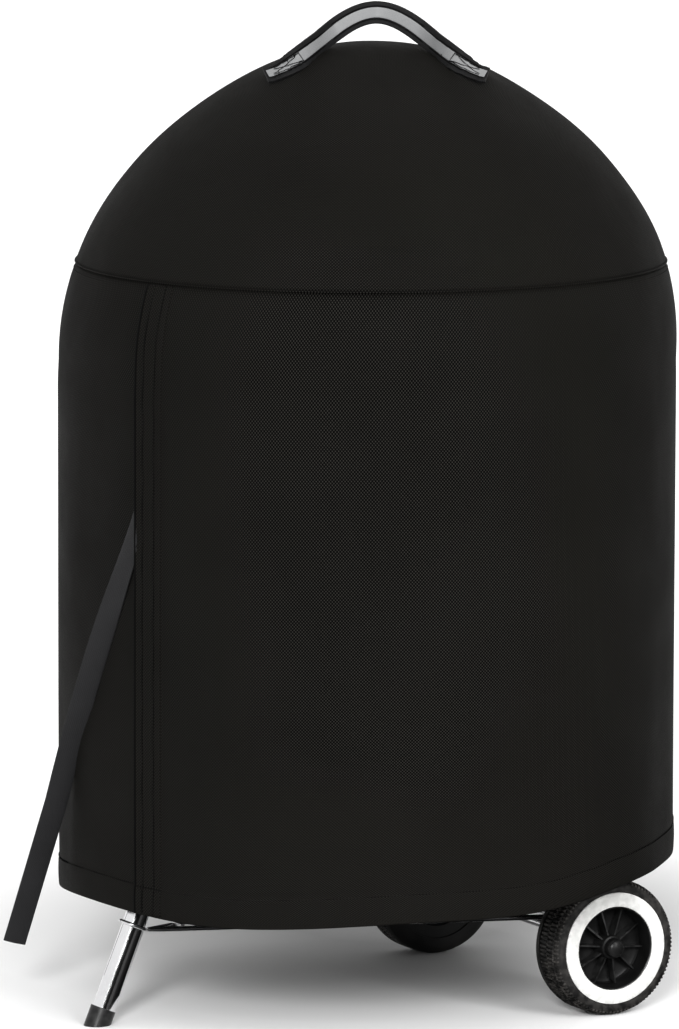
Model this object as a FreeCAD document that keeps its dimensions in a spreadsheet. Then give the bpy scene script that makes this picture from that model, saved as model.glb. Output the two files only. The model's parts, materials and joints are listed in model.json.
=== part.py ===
import FreeCAD, Part
import math
import os
import Sketcher

# Kettle charcoal grill under a fitted cover. Millimetres, +Z up, origin on the floor under the
# kettle's axis, +X along the axle, -Y towards the foot leg.

V = FreeCAD.Vector
UP = V(0, 0, 1)
doc = FreeCAD.newDocument("KettleGrill")
sheet = doc.addObject("Spreadsheet::Sheet", "Sizes")
NODES = []

SIZES = (
    ("kettle_radius", 285, "outside of bowl and lid"),
    ("rim_height", 815, "bowl rim above the floor"),
    ("bowl_depth", 245, "rim down to the lowest point of the bowl"),
    ("lid_height", 184, "dome above its own rim"),
    ("plate", 2, "enamelled steel"),
    ("bead_radius", 4, "rolled rim of the bowl"),
    ("seat_gap", 0.3, "air between pieces that lift apart"),
    ("fit", 0.07, "running fit on the radius"),
    ("vent_radius", 14, "ash vents in the bowl"),
    ("vent_ring", 52, "ash vents from the axis"),
    ("spindle_radius", 5, "ash sweep spindle"),
    ("lever_reach", 165, "ash sweep lever from the axis"),
    ("tube_radius", 12.7, "leg tube"),
    ("tube_wall", 1.5, "leg tube"),
    ("socket_wall", 2.4, "leg socket around the tube"),
    ("socket_length", 55, "leg socket along the tube"),
    ("leg_top_radius", 92, "leg axes where they meet the bowl"),
    ("foot_reach", 336, "foot from the kettle's axis"),
    ("cap_radius", 14.2, "foot cap"),
    ("cap_height", 19, "foot cap above the floor"),
    ("axle_back", 190, "axle behind the kettle's axis"),
    ("axle_radius", 5, "axle rod"),
    ("leg_spread", 158, "rear leg axes at the axle"),
    ("wheel_radius", 76, "outside of the tyre"),
    ("wheel_width", 50, "tyre"),
    ("wheel_centre", 202, "middle of each wheel from the kettle's axis"),
    ("rack_height", 107, "rack loops on the legs"),
    ("wire", 3, "rack wire radius"),
    ("pan_radius", 84, "ash pan flange"),
    ("pan_height", 505, "ash pan hanger above the floor"),
    ("coal_radius", 215, "charcoal grate ring"),
    ("cook_radius", 272, "cooking grate ring"),
    ("cook_drop", 25, "cooking grate below the bowl rim"),
    ("handle_out", 27, "bowl handles beyond the bowl"),
    ("handle_bar", 9, "bowl handle bar radius"),
    ("lid_bar", 12, "lid handle bar radius"),
    ("lid_bar_half", 62, "half the lid handle"),
    ("damper_radius", 42, "lid damper"),
    ("damper_out", 150, "lid damper from the axis"),
    ("cloth", 2.5, "cover cloth as a solid"),
    ("cover_slack", 57, "cover skirt beyond the kettle"),
    ("seam_slack", 41, "cover ring seam beyond the kettle"),
    ("seam_rise", 14, "cover ring seam above the bowl rim"),
    ("crown_rise", 255, "cover crown above the bowl rim"),
    ("crown_arc", 325.6, "radius of the flat top arc"),
    ("crown_turn", 23, "degrees of the flat top arc"),
    ("shoulder_drop", 139, "ring seam down to the straight skirt"),
    ("hem_height", 149, "hem at the kettle's axis"),
    ("hem_tilt", 3.72, "degrees"),
    ("cover_turn", 62, "degrees, way the hem rises"),
    ("webbing", 25, "strap and carry handle width"),
    ("strap_start", 556, "strap's upper end above the floor"),
)


def fill_sheet():
    for row, (name, number, note) in enumerate(SIZES, start=1):
        sheet.set("A%d" % row, name)
        sheet.set("B%d" % row, str(number))
        sheet.set("C%d" % row, note)
        sheet.setAlias("B%d" % row, name)
    doc.recompute()


def size(name):
    return float(sheet.get(name))


def value(thing, expression):
    return float(thing.evalExpression(expression))


# ---- small makers -------------------------------------------------------------------------

def bind(thing, **rules):
    for key, rule in rules.items():
        thing.setExpression(key, rule)


def place(thing, x="0", y="0", z="0"):
    for axis, rule in (("x", x), ("y", y), ("z", z)):
        thing.setExpression(".Placement.Base." + axis, rule)
    return thing


def drum(name, radius, height, x="0", y="0", z="0"):
    thing = doc.addObject("Part::Cylinder", name)
    bind(thing, Radius=radius, Height=height)
    return place(thing, x, y, z)


def rod(name, start, end, radius):
    thing = doc.addObject("Part::Cylinder", name)
    bind(thing, Radius=radius)
    thing.Height = (end - start).Length
    thing.Placement = FreeCAD.Placement(start, FreeCAD.Rotation(UP, end - start))
    return thing


def ball(name, radius, where):
    thing = doc.addObject("Part::Sphere", name)
    bind(thing, Radius=radius)
    thing.Placement.Base = where
    return thing


def ring(name, radius, wire, z="0"):
    thing = doc.addObject("Part::Torus", name)
    bind(thing, Radius1=radius, Radius2=wire)
    return place(thing, z=z)


def block(name, long, wide, tall, x, y, z, turn=0):
    """A box of the given sizes from its low corner, turned about the kettle's axis."""
    thing = doc.addObject("Part::Box", name)
    bind(thing, Length=long, Width=wide, Height=tall)
    corner = V(value(thing, x), value(thing, y), value(thing, z))
    spin = FreeCAD.Rotation(UP, turn)
    thing.Placement = FreeCAD.Placement(spin.multVec(corner), spin)
    return thing


def half_egg(name, radius, rise, z, upper):
    thing = doc.addObject("Part::Ellipsoid", name)
    bind(thing, Radius1=rise, Radius2=radius, Radius3=radius)
    thing.Angle1 = 0 if upper else -90
    thing.Angle2 = 90 if upper else 0
    return place(thing, z=z)


def cut(name, base, tool):
    thing = doc.addObject("Part::Cut", name)
    thing.Base = base
    thing.Tool = tool
    return thing


def meet(name, base, tool):
    thing = doc.addObject("Part::Common", name)
    thing.Base = base
    thing.Tool = tool
    return thing


def join(name, shapes):
    thing = doc.addObject("Part::MultiFuse", name)
    thing.Shapes = shapes
    return thing


def group(name, shapes):
    thing = doc.addObject("Part::Compound", name)
    thing.Links = shapes
    return thing


def solid(name, shape):
    thing = doc.addObject("Part::Feature", name)
    thing.Shape = shape
    return thing


def node(name, thing):
    thing.Label = name
    NODES.append((name, thing))
    return thing


def plane(body, role):
    return [item for item in body.Origin.OriginFeatures if item.Role == role][0]


def outlined(body, name, outline):
    """A closed sketch of straight lines through (across, up) rules, on the body's XZ plane."""
    sketch = body.newObject("Sketcher::SketchObject", name)
    sketch.AttachmentSupport = (plane(body, "XZ_Plane"), [""])
    sketch.MapMode = "FlatFace"
    here = [V(value(body, across), value(body, up), 0) for across, up in outline]
    count = len(here)
    for index in range(count):
        sketch.addGeometry(Part.LineSegment(here[index], here[(index + 1) % count]))
    for index in range(count):
        sketch.addConstraint(Sketcher.Constraint("Coincident", index, 2, (index + 1) % count, 1))
    for index, rules in enumerate(outline):
        pairs = (("DistanceX", rules[0], here[index].x), ("DistanceY", rules[1], here[index].y))
        for kind, rule, number in pairs:
            spot = sketch.addConstraint(Sketcher.Constraint(kind, -1, 1, index, 1, number))
            sketch.setExpression("Constraints[%d]" % spot, rule)
    return sketch


def turned(name, outline):
    body = doc.addObject("PartDesign::Body", name)
    sketch = outlined(body, name + "_outline", outline)
    turn = body.newObject("PartDesign::Revolution", name + "_turn")
    turn.Profile = sketch
    turn.ReferenceAxis = (sketch, ["V_Axis"])
    turn.Angle = 360
    return body


def spread_round(body, feature, count, name):
    pattern = body.newObject("PartDesign::PolarPattern", name)
    pattern.Originals = [feature]
    pattern.Axis = (plane(body, "Z_Axis"), [""])
    pattern.Angle = 360
    pattern.Occurrences = count
    body.Tip = pattern


def polar(radius, degrees, z=0):
    turn = math.radians(degrees)
    return V(radius * math.cos(turn), radius * math.sin(turn), z)


# ---- leg lines ----------------------------------------------------------------------------

def bowl_level(radius):
    """Height of the bowl's outside at a distance from the axis."""
    share = radius / size("kettle_radius")
    return size("rim_height") - size("bowl_depth") * math.sqrt(1 - share * share)


def leg_ends(which):
    """Top and lower end of a leg's axis: 0 the foot leg, -1 and 1 the rear legs."""
    reach = size("leg_top_radius")
    level = bowl_level(reach)
    if which == 0:
        return V(0, -reach, level), V(0, -size("foot_reach"), 0)
    return (polar(reach, 90 - 60 * which, level),
            V(which * size("leg_spread"), size("axle_back"), size("wheel_radius")))


def along(which, z):
    top, low = leg_ends(which)
    share = (top.z - z) / (top.z - low.z)
    return top + (low - top) * share


def leg_way(which):
    top, low = leg_ends(which)
    return (low - top).normalize()


# ---- the kettle stand ---------------------------------------------------------------------

def make_bowl():
    rim = "Sizes.rim_height"
    outer = half_egg("bowl_outside", "Sizes.kettle_radius", "Sizes.bowl_depth", rim, False)
    inner = half_egg("bowl_inside", "Sizes.kettle_radius - Sizes.plate",
                     "Sizes.bowl_depth - Sizes.plate", rim, False)
    bead = ring("bowl_bead", "Sizes.kettle_radius + Sizes.bead_radius - 1",
                "Sizes.bead_radius", rim)
    floor = "Sizes.rim_height - Sizes.bowl_depth - 10"
    holes = [drum("spindle_hole", "Sizes.spindle_radius + Sizes.fit", "30", z=floor)]
    for index in range(3):
        hole = drum("vent_%d" % index, "Sizes.vent_radius", "50", z=floor)
        hole.Placement.Base = polar(size("vent_ring"), 120 * index + 30, 0)
        hole.setExpression(".Placement.Base.z", floor)
        holes.append(hole)
    shell = cut("bowl_shell", join("bowl_whole", [outer, bead]), inner)
    node("bowl", cut("bowl_vented", shell, group("bowl_holes", holes)))


def make_legs():
    sockets = []
    names = {0: "foot_leg", 1: "near_leg", -1: "far_leg"}
    for which, name in names.items():
        top, low = leg_ends(which)
        way = leg_way(which)
        # socket: a tube round the leg, trimmed to the bowl's outside
        start = top - way * 30
        end = top + way * size("socket_length")
        outside = rod(name + "_socket_out", start, end,
                      "Sizes.tube_radius + Sizes.fit + Sizes.socket_wall")
        inside = rod(name + "_socket_in", start, end + way * 5,
                     "Sizes.tube_radius + Sizes.fit")
        tube = cut(name + "_socket_tube", outside, inside)
        egg = half_egg(name + "_socket_trim", "Sizes.kettle_radius", "Sizes.bowl_depth",
                       "Sizes.rim_height", False)
        sockets.append(cut(name + "_socket", tube, egg))
        # the leg itself, hollow
        begin = top + way * 8
        stop = low - way * 7 if which == 0 else low + way * 14
        outer = rod(name + "_outside", begin, stop, "Sizes.tube_radius")
        bore = rod(name + "_bore", begin - way, stop + way, "Sizes.tube_radius - Sizes.tube_wall")
        leg = cut(name + "_tube", outer, bore)
        if which == 0:
            node(name, leg)
            continue
        hole = rod(name + "_axle_hole", low - V(30, 0, 0), low + V(30, 0, 0),
                   "Sizes.axle_radius + Sizes.fit")
        node(name, cut(name + "_drilled", leg, hole))
    node("leg_sockets", group("leg_socket_set", sockets))


def make_foot_cap():
    low = leg_ends(0)[1]
    way = leg_way(0)
    outer = rod("foot_cap_outside", low - way * size("cap_height"), low + way * 20,
                "Sizes.cap_radius")
    bore = rod("foot_cap_bore", low - way * 60, low - way * 7, "Sizes.tube_radius")
    below = block("foot_cap_below", "80", "80", "60", "-40", "-40 - Sizes.foot_reach", "-60")
    node("foot_cap", cut("foot_cap_flat", cut("foot_cap_bored", outer, bore), below))


def make_leg_plugs():
    plugs = []
    for which in (-1, 1):
        low = leg_ends(which)[1]
        way = leg_way(which)
        end = low + way * 14
        head = rod("plug_head_%d" % (which + 1), end, end + way * 3, "Sizes.tube_radius")
        stem = rod("plug_stem_%d" % (which + 1), end - way * 8, end + way * 1,
                   "Sizes.tube_radius - Sizes.tube_wall - 0.1")
        plug = join("plug_%d" % (which + 1), [head, stem])
        room = rod("plug_room_%d" % (which + 1), low - V(30, 0, 0), low + V(30, 0, 0),
                   "Sizes.axle_radius + 0.5")
        plugs.append(cut("plug_cut_%d" % (which + 1), plug, room))
    node("leg_plugs", group("leg_plug_set", plugs))


def make_axle():
    half = size("wheel_centre") + size("wheel_width") / 2 + 1
    back = V(0, size("axle_back"), size("wheel_radius"))
    node("axle", rod("axle_rod", back - V(half, 0, 0), back + V(half, 0, 0), "Sizes.axle_radius"))
    caps = []
    for side in (-1, 1):
        end = back + V(side * (half + 2), 0, 0)
        start = back + V(side * (half - 7.4), 0, 0)
        outer = rod("axle_cap_out_%d" % (side + 1), start, end, "Sizes.axle_radius + 4")
        bore = rod("axle_cap_bore_%d" % (side + 1), start, back + V(side * half, 0, 0),
                   "Sizes.axle_radius")
        caps.append(cut("axle_cap_%d" % (side + 1), outer, bore))
    node("axle_caps", group("axle_cap_set", caps))


def make_rack():
    loops = []
    corners = []
    loop_radius = size("tube_radius") + 2.2 + 0.05
    for which in (0, 1, -1):
        centre = along(which, size("rack_height"))
        way = leg_way(which)
        loop = doc.addObject("Part::Torus", "rack_loop_%d" % (which + 1))
        bind(loop, Radius1="Sizes.tube_radius + 2.25", Radius2="2.2")
        loop.Placement = FreeCAD.Placement(centre, FreeCAD.Rotation(UP, way))
        loops.append(loop)
        inward = V(-way.x, -way.y, 0).normalize()
        inward = (inward - way * inward.dot(way)).normalize()
        corners.append(centre + inward * (loop_radius + 2.2 + size("wire")))
    node("rack_loops", group("rack_loop_set", loops))
    level = sum(corner.z for corner in corners) / 3
    flat = [V(corner.x, corner.y, level) for corner in corners]
    wires = []
    for index in range(3):
        wires.append(ball("rack_corner_%d" % index, "Sizes.wire", flat[index]))
        wires.append(rod("rack_edge_%d" % index, flat[index], flat[(index + 1) % 3],
                         "Sizes.wire"))
    front = flat[0].y
    back = flat[1].y
    count = 12
    for index in range(1, count):
        y = front + (back - front) * index / count
        half = flat[1].x * index / count
        start = V(-half, y, level + 3.5)
        wires.append(rod("rack_cross_%d" % index, start, V(half, y, level + 3.5), "2"))
    node("bottom_rack", join("rack_wires", wires))


def make_pan():
    level = "Sizes.pan_height"
    hoop = ring("pan_hoop", "Sizes.pan_radius - 4", "2.5", level)
    arms = [hoop]
    tubes = []
    for which in (0, 1, -1):
        spot = along(which, size("pan_height"))
        inner = V(spot.x, spot.y, 0).normalize() * (size("pan_radius") - 4)
        inner.z = spot.z
        arms.append(rod("pan_arm_%d" % (which + 1), inner, spot, "2.5"))
        top, low = leg_ends(which)
        tubes.append(rod("pan_arm_trim_%d" % (which + 1), top, low, "Sizes.tube_radius"))
    whole = join("pan_hanger_whole", arms)
    node("pan_hanger", cut("pan_hanger_trimmed", whole, group("pan_leg_room", tubes)))
    rim = "Sizes.pan_height + 2.5 + Sizes.seat_gap"
    outline = (
        ("0", "Sizes.pan_height - 18"),
        ("Sizes.pan_radius - 14", "Sizes.pan_height - 18"),
        ("Sizes.pan_radius - 7.5", rim),
        ("Sizes.pan_radius", rim),
        ("Sizes.pan_radius", rim + " + 1.5"),
        ("Sizes.pan_radius - 8.8", rim + " + 1.5"),
        ("Sizes.pan_radius - 15", "Sizes.pan_height - 16.5"),
        ("0", "Sizes.pan_height - 16.5"),
    )
    node("ash_pan", turned("pan_dish", outline))


def make_sweep():
    floor = size("rim_height") - size("bowl_depth")
    low = floor - 27
    spindle = rod("sweep_rod", V(0, 0, low), V(0, 0, floor + 20), "Sizes.spindle_radius")
    node("sweep_spindle", spindle)
    rim = "Sizes.rim_height"
    outer = "Sizes.plate + 0.8"
    inner = "Sizes.plate + 3.2"
    blades = []
    for index in range(3):
        turn = 120 * index + 90
        big = half_egg("blade_low_%d" % index, "Sizes.kettle_radius - " + outer,
                       "Sizes.bowl_depth - (%s)" % outer, rim, False)
        small = half_egg("blade_high_%d" % index, "Sizes.kettle_radius - (%s)" % inner,
                         "Sizes.bowl_depth - (%s)" % inner, rim, False)
        skin = cut("blade_skin_%d" % index, big, small)
        strip = block("blade_strip_%d" % index, "100", "30", "50", "6", "-15",
                      "Sizes.rim_height - Sizes.bowl_depth", turn)
        blades.append(meet("blade_%d" % index, skin, strip))
    hub = drum("blade_hub", "14", "9", z="Sizes.rim_height - Sizes.bowl_depth + 3")
    bore = drum("blade_hub_bore", "Sizes.spindle_radius", "40",
                z="Sizes.rim_height - Sizes.bowl_depth - 5")
    node("sweep_blades", cut("blades_bored", join("blades_whole", blades + [hub]), bore))
    turn = -30
    level = "Sizes.rim_height - Sizes.bowl_depth - 24"
    bar = block("lever_bar", "Sizes.lever_reach", "16", "3", "0", "-8", level, turn)
    boss = drum("lever_boss", "12", "12", z="Sizes.rim_height - Sizes.bowl_depth - 27")
    hole = drum("lever_bore", "Sizes.spindle_radius", "40",
                z="Sizes.rim_height - Sizes.bowl_depth - 40")
    node("sweep_lever", cut("lever_bored", join("lever_whole", [bar, boss]), hole))
    reach = size("lever_reach")
    start = polar(reach - 25, turn, floor - 22.5)
    end = polar(reach + 20, turn, floor - 22.5)
    grip = rod("grip_rod", start, end, "9")
    slot = block("grip_slot", "Sizes.lever_reach", "16", "3", "0", "-8", level, turn)
    node("sweep_grip", cut("grip_slotted", grip, slot))


def wire_grate(name, radius, wire, thin, pitch, z):
    """A round grate: ring, parallel rods cut to the ring's chords, two cross bars below."""
    reach = size(radius)
    level = z
    parts = [ring(name + "_ring", "Sizes." + radius, wire, "%.4f" % level)]
    count = int((reach - 6) / pitch)
    for index in range(-count, count + 1):
        y = index * pitch
        half = math.sqrt(reach * reach - y * y)
        parts.append(rod("%s_rod_%d" % (name, index + count), V(-half, y, level),
                         V(half, y, level), thin))
    for side in (-1, 1):
        x = side * reach * 0.45
        half = math.sqrt((reach - 10) ** 2 - x * x)
        parts.append(rod("%s_bar_%d" % (name, side + 1), V(x, -half, level - 4),
                         V(x, half, level - 4), wire))
    return join(name + "_wires", parts)


def coal_level():
    """Height at which the charcoal grate's ring just clears the inside of the bowl."""
    across = size("kettle_radius") - size("plate")
    down = size("bowl_depth") - size("plate")
    gap = 3 + size("seat_gap") + 0.3
    turn = 0.2
    for step in range(60):
        normal = V(math.cos(turn) / across, 0, math.sin(turn) / down).normalize()
        radius = across * math.cos(turn) - gap * normal.x
        turn += (radius - size("coal_radius")) / across
    return size("rim_height") - down * math.sin(turn) + gap * normal.z


def make_grates():
    node("charcoal_grate", wire_grate("coal", "coal_radius", "3", "2.5", 30, coal_level()))
    level = size("rim_height") - size("cook_drop")
    node("cooking_grate", wire_grate("cook", "cook_radius", "3.5", "2.5", 22, level))
    loops = []
    for side in (-1, 1):
        x = side * (size("cook_radius") - 24)
        low = [V(x, y, level + 2.5) for y in (-45, 45)]
        high = [V(x, y, level + 16) for y in (-45, 45)]
        wires = [rod("loop_post_%d_%d" % (side + 1, index), low[index], high[index], "3")
                 for index in range(2)]
        wires += [ball("loop_bend_%d_%d" % (side + 1, index), "3", high[index])
                  for index in range(2)]
        wires.append(rod("loop_top_%d" % (side + 1), high[0], high[1], "3"))
        loops.append(join("loop_%d" % (side + 1), wires))
    node("grate_loops", group("grate_loop_set", loops))
    tabs = []
    shelves = (("cook", "Sizes.cook_radius - 9", level - 5.5 - size("seat_gap")),
               ("coal", "Sizes.coal_radius - 9", coal_level() - 5 - size("seat_gap")))
    for kind, reach, top in shelves:
        for index in range(4):
            tag = "%s_tab_%d" % (kind, index)
            egg = half_egg(tag + "_trim", "Sizes.kettle_radius - Sizes.plate",
                           "Sizes.bowl_depth - Sizes.plate", "Sizes.rim_height", False)
            strip = block(tag + "_strip", "40", "20", "2", reach, "-10", "%.4f" % top,
                          45 + 90 * index)
            tabs.append(meet(tag, strip, egg))
    node("grate_tabs", group("grate_tab_set", tabs))


def make_bowl_handles():
    level = size("rim_height") - 47
    posts = []
    bolts = []
    for side, name in ((1, "near_handle"), (-1, "far_handle")):
        x = side * (size("kettle_radius") + size("handle_out"))
        bar = rod(name + "_bar", V(x, -60, level), V(x, 60, level), "Sizes.handle_bar")
        node(name, bar)
        for y in (-45, 45):
            spot = "%s_%d" % (name, y + 45)
            post = rod(spot + "_post", V(side * (size("kettle_radius") - 25), y, level),
                       V(x, y, level), "5")
            egg = half_egg(spot + "_trim", "Sizes.kettle_radius", "Sizes.bowl_depth",
                           "Sizes.rim_height", False)
            room = rod(spot + "_room", V(x, -80, level), V(x, 80, level), "Sizes.handle_bar")
            posts.append(cut(spot + "_cut", cut(spot + "_out", post, egg), room))
            head = rod(spot + "_head", V(x, y, level),
                       V(x + side * (size("handle_bar") + 1), y, level), "4.5")
            hole = rod(spot + "_hole", V(x, -80, level), V(x, 80, level), "Sizes.handle_bar")
            bolts.append(cut(spot + "_bolt", head, hole))
    node("handle_posts", group("handle_post_set", posts))
    node("handle_bolts", group("handle_bolt_set", bolts))


# ---- wheels: made about their own axis, outer face at the top, then laid on the axle --------

def lay_wheel(thing, side):
    start = V(side * (size("wheel_centre") - 30), size("axle_back"), size("wheel_radius"))
    thing.Placement = FreeCAD.Placement(start, FreeCAD.Rotation(V(0, 1, 0), 90 * side))


def make_wheel(prefix, side):
    edge = "Sizes.wheel_radius"
    wide = "Sizes.wheel_width"
    bore = "Sizes.axle_radius + Sizes.fit"
    felly = edge + " - 18"
    hub = turned(prefix + "_hub_body", (
        (bore, "1.5"), ("Sizes.axle_radius + 6", "1.5"), ("Sizes.axle_radius + 6", "26"),
        (felly + " - 6", "26"), (felly + " - 6", "9"), (felly, "9"), (felly, wide),
        (felly + " - 6", wide), (felly + " - 6", "32"), ("Sizes.axle_radius + 8", "32"),
        ("Sizes.axle_radius + 8", "44"), ("Sizes.axle_radius + 5", "48"), (bore, "48"),
    ))
    rib = hub.newObject("PartDesign::Pad", prefix + "_rib")
    rib.Profile = outlined(hub, prefix + "_rib_outline", (
        ("Sizes.axle_radius + 7.5", "31"), (felly + " - 5", "31"), (felly + " - 5", "38"),
        ("Sizes.axle_radius + 7.5", "43")))
    rib.Length = 2.4
    rib.SideType = "Symmetric"
    spread_round(hub, rib, 10, prefix + "_ribs")
    tyre = turned(prefix + "_tyre_body", (
        (felly, "8"), (edge + " - 10", "5"), (edge + " - 4", "6.5"), (edge, "13"),
        (edge, "17"), (edge + " - 2.4", "17.6"), (edge + " - 2.4", "20.4"), (edge, "21"),
        (edge, "47"), (edge + " - 3.5", "53"), (edge + " - 9", "55"),
        (edge + " - 13.2", "54"), (edge + " - 13.2", wide), (felly, wide),
    ))
    tread = tyre.newObject("PartDesign::Pocket", prefix + "_tread_cut")
    tread.Profile = outlined(tyre, prefix + "_tread_outline", (
        (edge + " - 1.6", "22"), (edge + " + 2", "22"), (edge + " + 2", "56"),
        (edge + " - 1.6", "56")))
    tread.Length = 3
    tread.SideType = "Symmetric"
    spread_round(tyre, tread, 60, prefix + "_tread")
    wall = turned(prefix + "_wall_body", (
        (edge + " - 30", wide), (edge + " - 13.5", wide), (edge + " - 13.5", "54"),
        (edge + " - 16", "55"), (edge + " - 28", "53.5"), (edge + " - 30", "51.5"),
    ))
    for name, thing in (("_hub", hub), ("_tyre", tyre), ("_white_wall", wall)):
        lay_wheel(thing, side)
        node(prefix + name, thing)


# ---- the lid --------------------------------------------------------------------------------

def lid_level():
    return "Sizes.rim_height + Sizes.bead_radius + Sizes.seat_gap"


def damper_frame():
    """Where the damper sits on the dome, with its own z along the dome's normal."""
    across = size("kettle_radius")
    up = size("lid_height")
    out = size("damper_out")
    base = size("rim_height") + size("bead_radius") + size("seat_gap") + 1
    rise = up * math.sqrt(1 - (out / across) ** 2)
    normal = V(out / across ** 2, 0, rise / up ** 2)
    spot = V(out, 0, base + rise)
    return FreeCAD.Placement(spot, FreeCAD.Rotation(UP, normal))


def in_damper(thing, x=0, y=0, z=0):
    frame = damper_frame()
    thing.Placement = frame.multiply(FreeCAD.Placement(V(x, y, z), FreeCAD.Rotation()))
    return thing


def damper_holes(name, low):
    holes = []
    for index in range(3):
        spot = polar(24, 120 * index, 0)
        hole = free(drum("%s_hole_%d" % (name, index), "8", "30"))
        holes.append(in_damper(hole, spot.x, spot.y, low))
    return holes


def free(thing):
    for axis in "xyz":
        thing.setExpression(".Placement.Base." + axis, None)
    return thing


def make_lid():
    base = lid_level() + " + 1"
    outer = half_egg("dome_outside", "Sizes.kettle_radius", "Sizes.lid_height", base, True)
    inner = half_egg("dome_inside", "Sizes.kettle_radius - Sizes.plate",
                     "Sizes.lid_height - Sizes.plate", base, True)
    flange = turned("dome_flange", (
        ("Sizes.kettle_radius - 2", lid_level()), ("Sizes.kettle_radius + 8.2", lid_level()),
        ("Sizes.kettle_radius + 8.2", "Sizes.rim_height - 4"),
        ("Sizes.kettle_radius + 10", "Sizes.rim_height - 4"),
        ("Sizes.kettle_radius + 10", lid_level() + " + 2"),
        ("Sizes.kettle_radius - 2", lid_level() + " + 2"),
    ))
    dome = join("dome_whole", [cut("dome_shell", outer, inner), flange])
    holes = damper_holes("dome", -15)
    holes.append(in_damper(free(drum("dome_rivet_hole", "3.1", "30")), z=-15))
    half = size("lid_bar_half") - 12
    for y in (-half, half):
        hole = free(drum("dome_bolt_hole_%d" % (y > 0), "3.2", "60"))
        hole.Placement.Base = V(0, y, value(hole, base) + size("lid_height") - 40)
        holes.append(hole)
    node("lid_dome", cut("dome_drilled", dome, group("dome_holes", holes)))


def lid_bar_level():
    """Axis height of the lid handle, so that its ends carry the crown of the cover."""
    arc = size("crown_arc") - size("cloth")
    top = size("rim_height") + size("crown_rise") - size("cloth")
    half = size("lid_bar_half")
    under = top - arc + math.sqrt(arc * arc - half * half)
    return under - size("seat_gap") - size("lid_bar")


def make_lid_fittings():
    level = lid_bar_level()
    half = size("lid_bar_half")
    node("lid_handle", rod("lid_bar_rod", V(0, -half, level), V(0, half, level),
                           "Sizes.lid_bar"))
    base = size("rim_height") + size("bead_radius") + size("seat_gap") + 1
    posts = []
    bolts = []
    shield_holes = []
    for y in (-(half - 12), half - 12):
        tag = "%d" % (y > 0)
        post = rod("lid_post_" + tag, V(0, y, base + 120), V(0, y, level), "6")
        egg = half_egg("lid_post_trim_" + tag, "Sizes.kettle_radius", "Sizes.lid_height",
                       lid_level() + " + 1", True)
        room = rod("lid_post_room_" + tag, V(0, -90, level), V(0, 90, level), "Sizes.lid_bar")
        bore = rod("lid_post_bore_" + tag, V(0, y, base), V(0, y, level), "3.1")
        trimmed = cut("lid_post_seat_" + tag, cut("lid_post_foot_" + tag, post, egg), room)
        posts.append(cut("lid_post_tube_" + tag, trimmed, bore))
        share = (abs(y) + 7) / (size("kettle_radius") - size("plate"))
        under = base + (size("lid_height") - size("plate")) * math.sqrt(1 - share * share) - 0.1
        nut = rod("lid_nut_" + tag, V(0, y, under - 5), V(0, y, under), "7")
        shank = rod("lid_shank_" + tag, V(0, y, under - 7), V(0, y, level - 13.5), "3")
        bolts.append(join("lid_bolt_" + tag, [nut, shank]))
        shield_holes.append(rod("shield_hole_" + tag, V(0, y, base), V(0, y, level), "6.1"))
    node("lid_posts", group("lid_post_set", posts))
    node("lid_bolts", group("lid_bolt_set", bolts))
    sheet_plate = doc.addObject("Part::Box", "shield_plate")
    bind(sheet_plate, Length="54", Width="2 * Sizes.lid_bar_half + 14", Height="1.5")
    sheet_plate.Placement.Base = V(-27, -half - 7, level - 41)
    node("heat_shield", cut("shield_drilled", sheet_plate, group("shield_holes", shield_holes)))
    shelf = block("hook_shelf", "30", "20", "2", "Sizes.kettle_radius - 25", "-10",
                  "Sizes.rim_height + 43", -90)
    drop = block("hook_drop", "2", "20", "24", "Sizes.kettle_radius - 25", "-10",
                 "Sizes.rim_height + 20", -90)
    egg = half_egg("hook_trim", "Sizes.kettle_radius - Sizes.plate",
                   "Sizes.lid_height - Sizes.plate", lid_level() + " + 1", True)
    node("lid_hook", meet("hook_trimmed", join("hook_whole", [shelf, drop]), egg))


def make_damper():
    """A dished disc that turns on a rivet a little above the dome."""
    lift = 0.8
    dish = 340
    outside = in_damper(ball("damper_outside", "%s + 1.5" % dish, V(0, 0, 0)), z=lift - dish)
    inside = in_damper(ball("damper_inside", str(dish), V(0, 0, 0)), z=lift - dish)
    disc = in_damper(free(drum("damper_disc", "Sizes.damper_radius", "40")), z=-20)
    skin = meet("damper_skin", cut("damper_shell", outside, inside), disc)
    tab = doc.addObject("Part::Box", "damper_tab")
    bind(tab, Length="2", Width="16", Height="15")
    in_damper(tab, size("damper_radius") - 3, -8, 0)
    trimmed = cut("damper_tab_trim", tab,
                  in_damper(ball("damper_tab_ball", str(dish), V(0, 0, 0)), z=lift - dish))
    holes = damper_holes("damper", -10)
    holes.append(in_damper(free(drum("damper_bore", "3 + Sizes.fit", "40")), z=-20))
    node("lid_damper", cut("damper_drilled", join("damper_whole", [skin, trimmed]),
                           group("damper_holes", holes)))
    shank = in_damper(free(drum("rivet_shank", "3", "10")), z=-5)
    head = in_damper(free(drum("rivet_head", "7", "2")), z=lift + 1.5 + size("seat_gap"))
    back = in_damper(free(drum("rivet_back", "6", "2")), z=-4.2)
    top = in_damper(free(drum("rivet_end", "8", "10")), z=lift + 3.5 + size("seat_gap"))
    node("damper_rivet", cut("rivet_trim", join("rivet_whole", [shank, head, back]), top))


# ---- the cover ------------------------------------------------------------------------------
# Its outline is three arcs in a row, each given as (centre across, centre up, radius); angles
# are from straight up. Growing an arc's radius moves the cloth outward.

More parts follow.
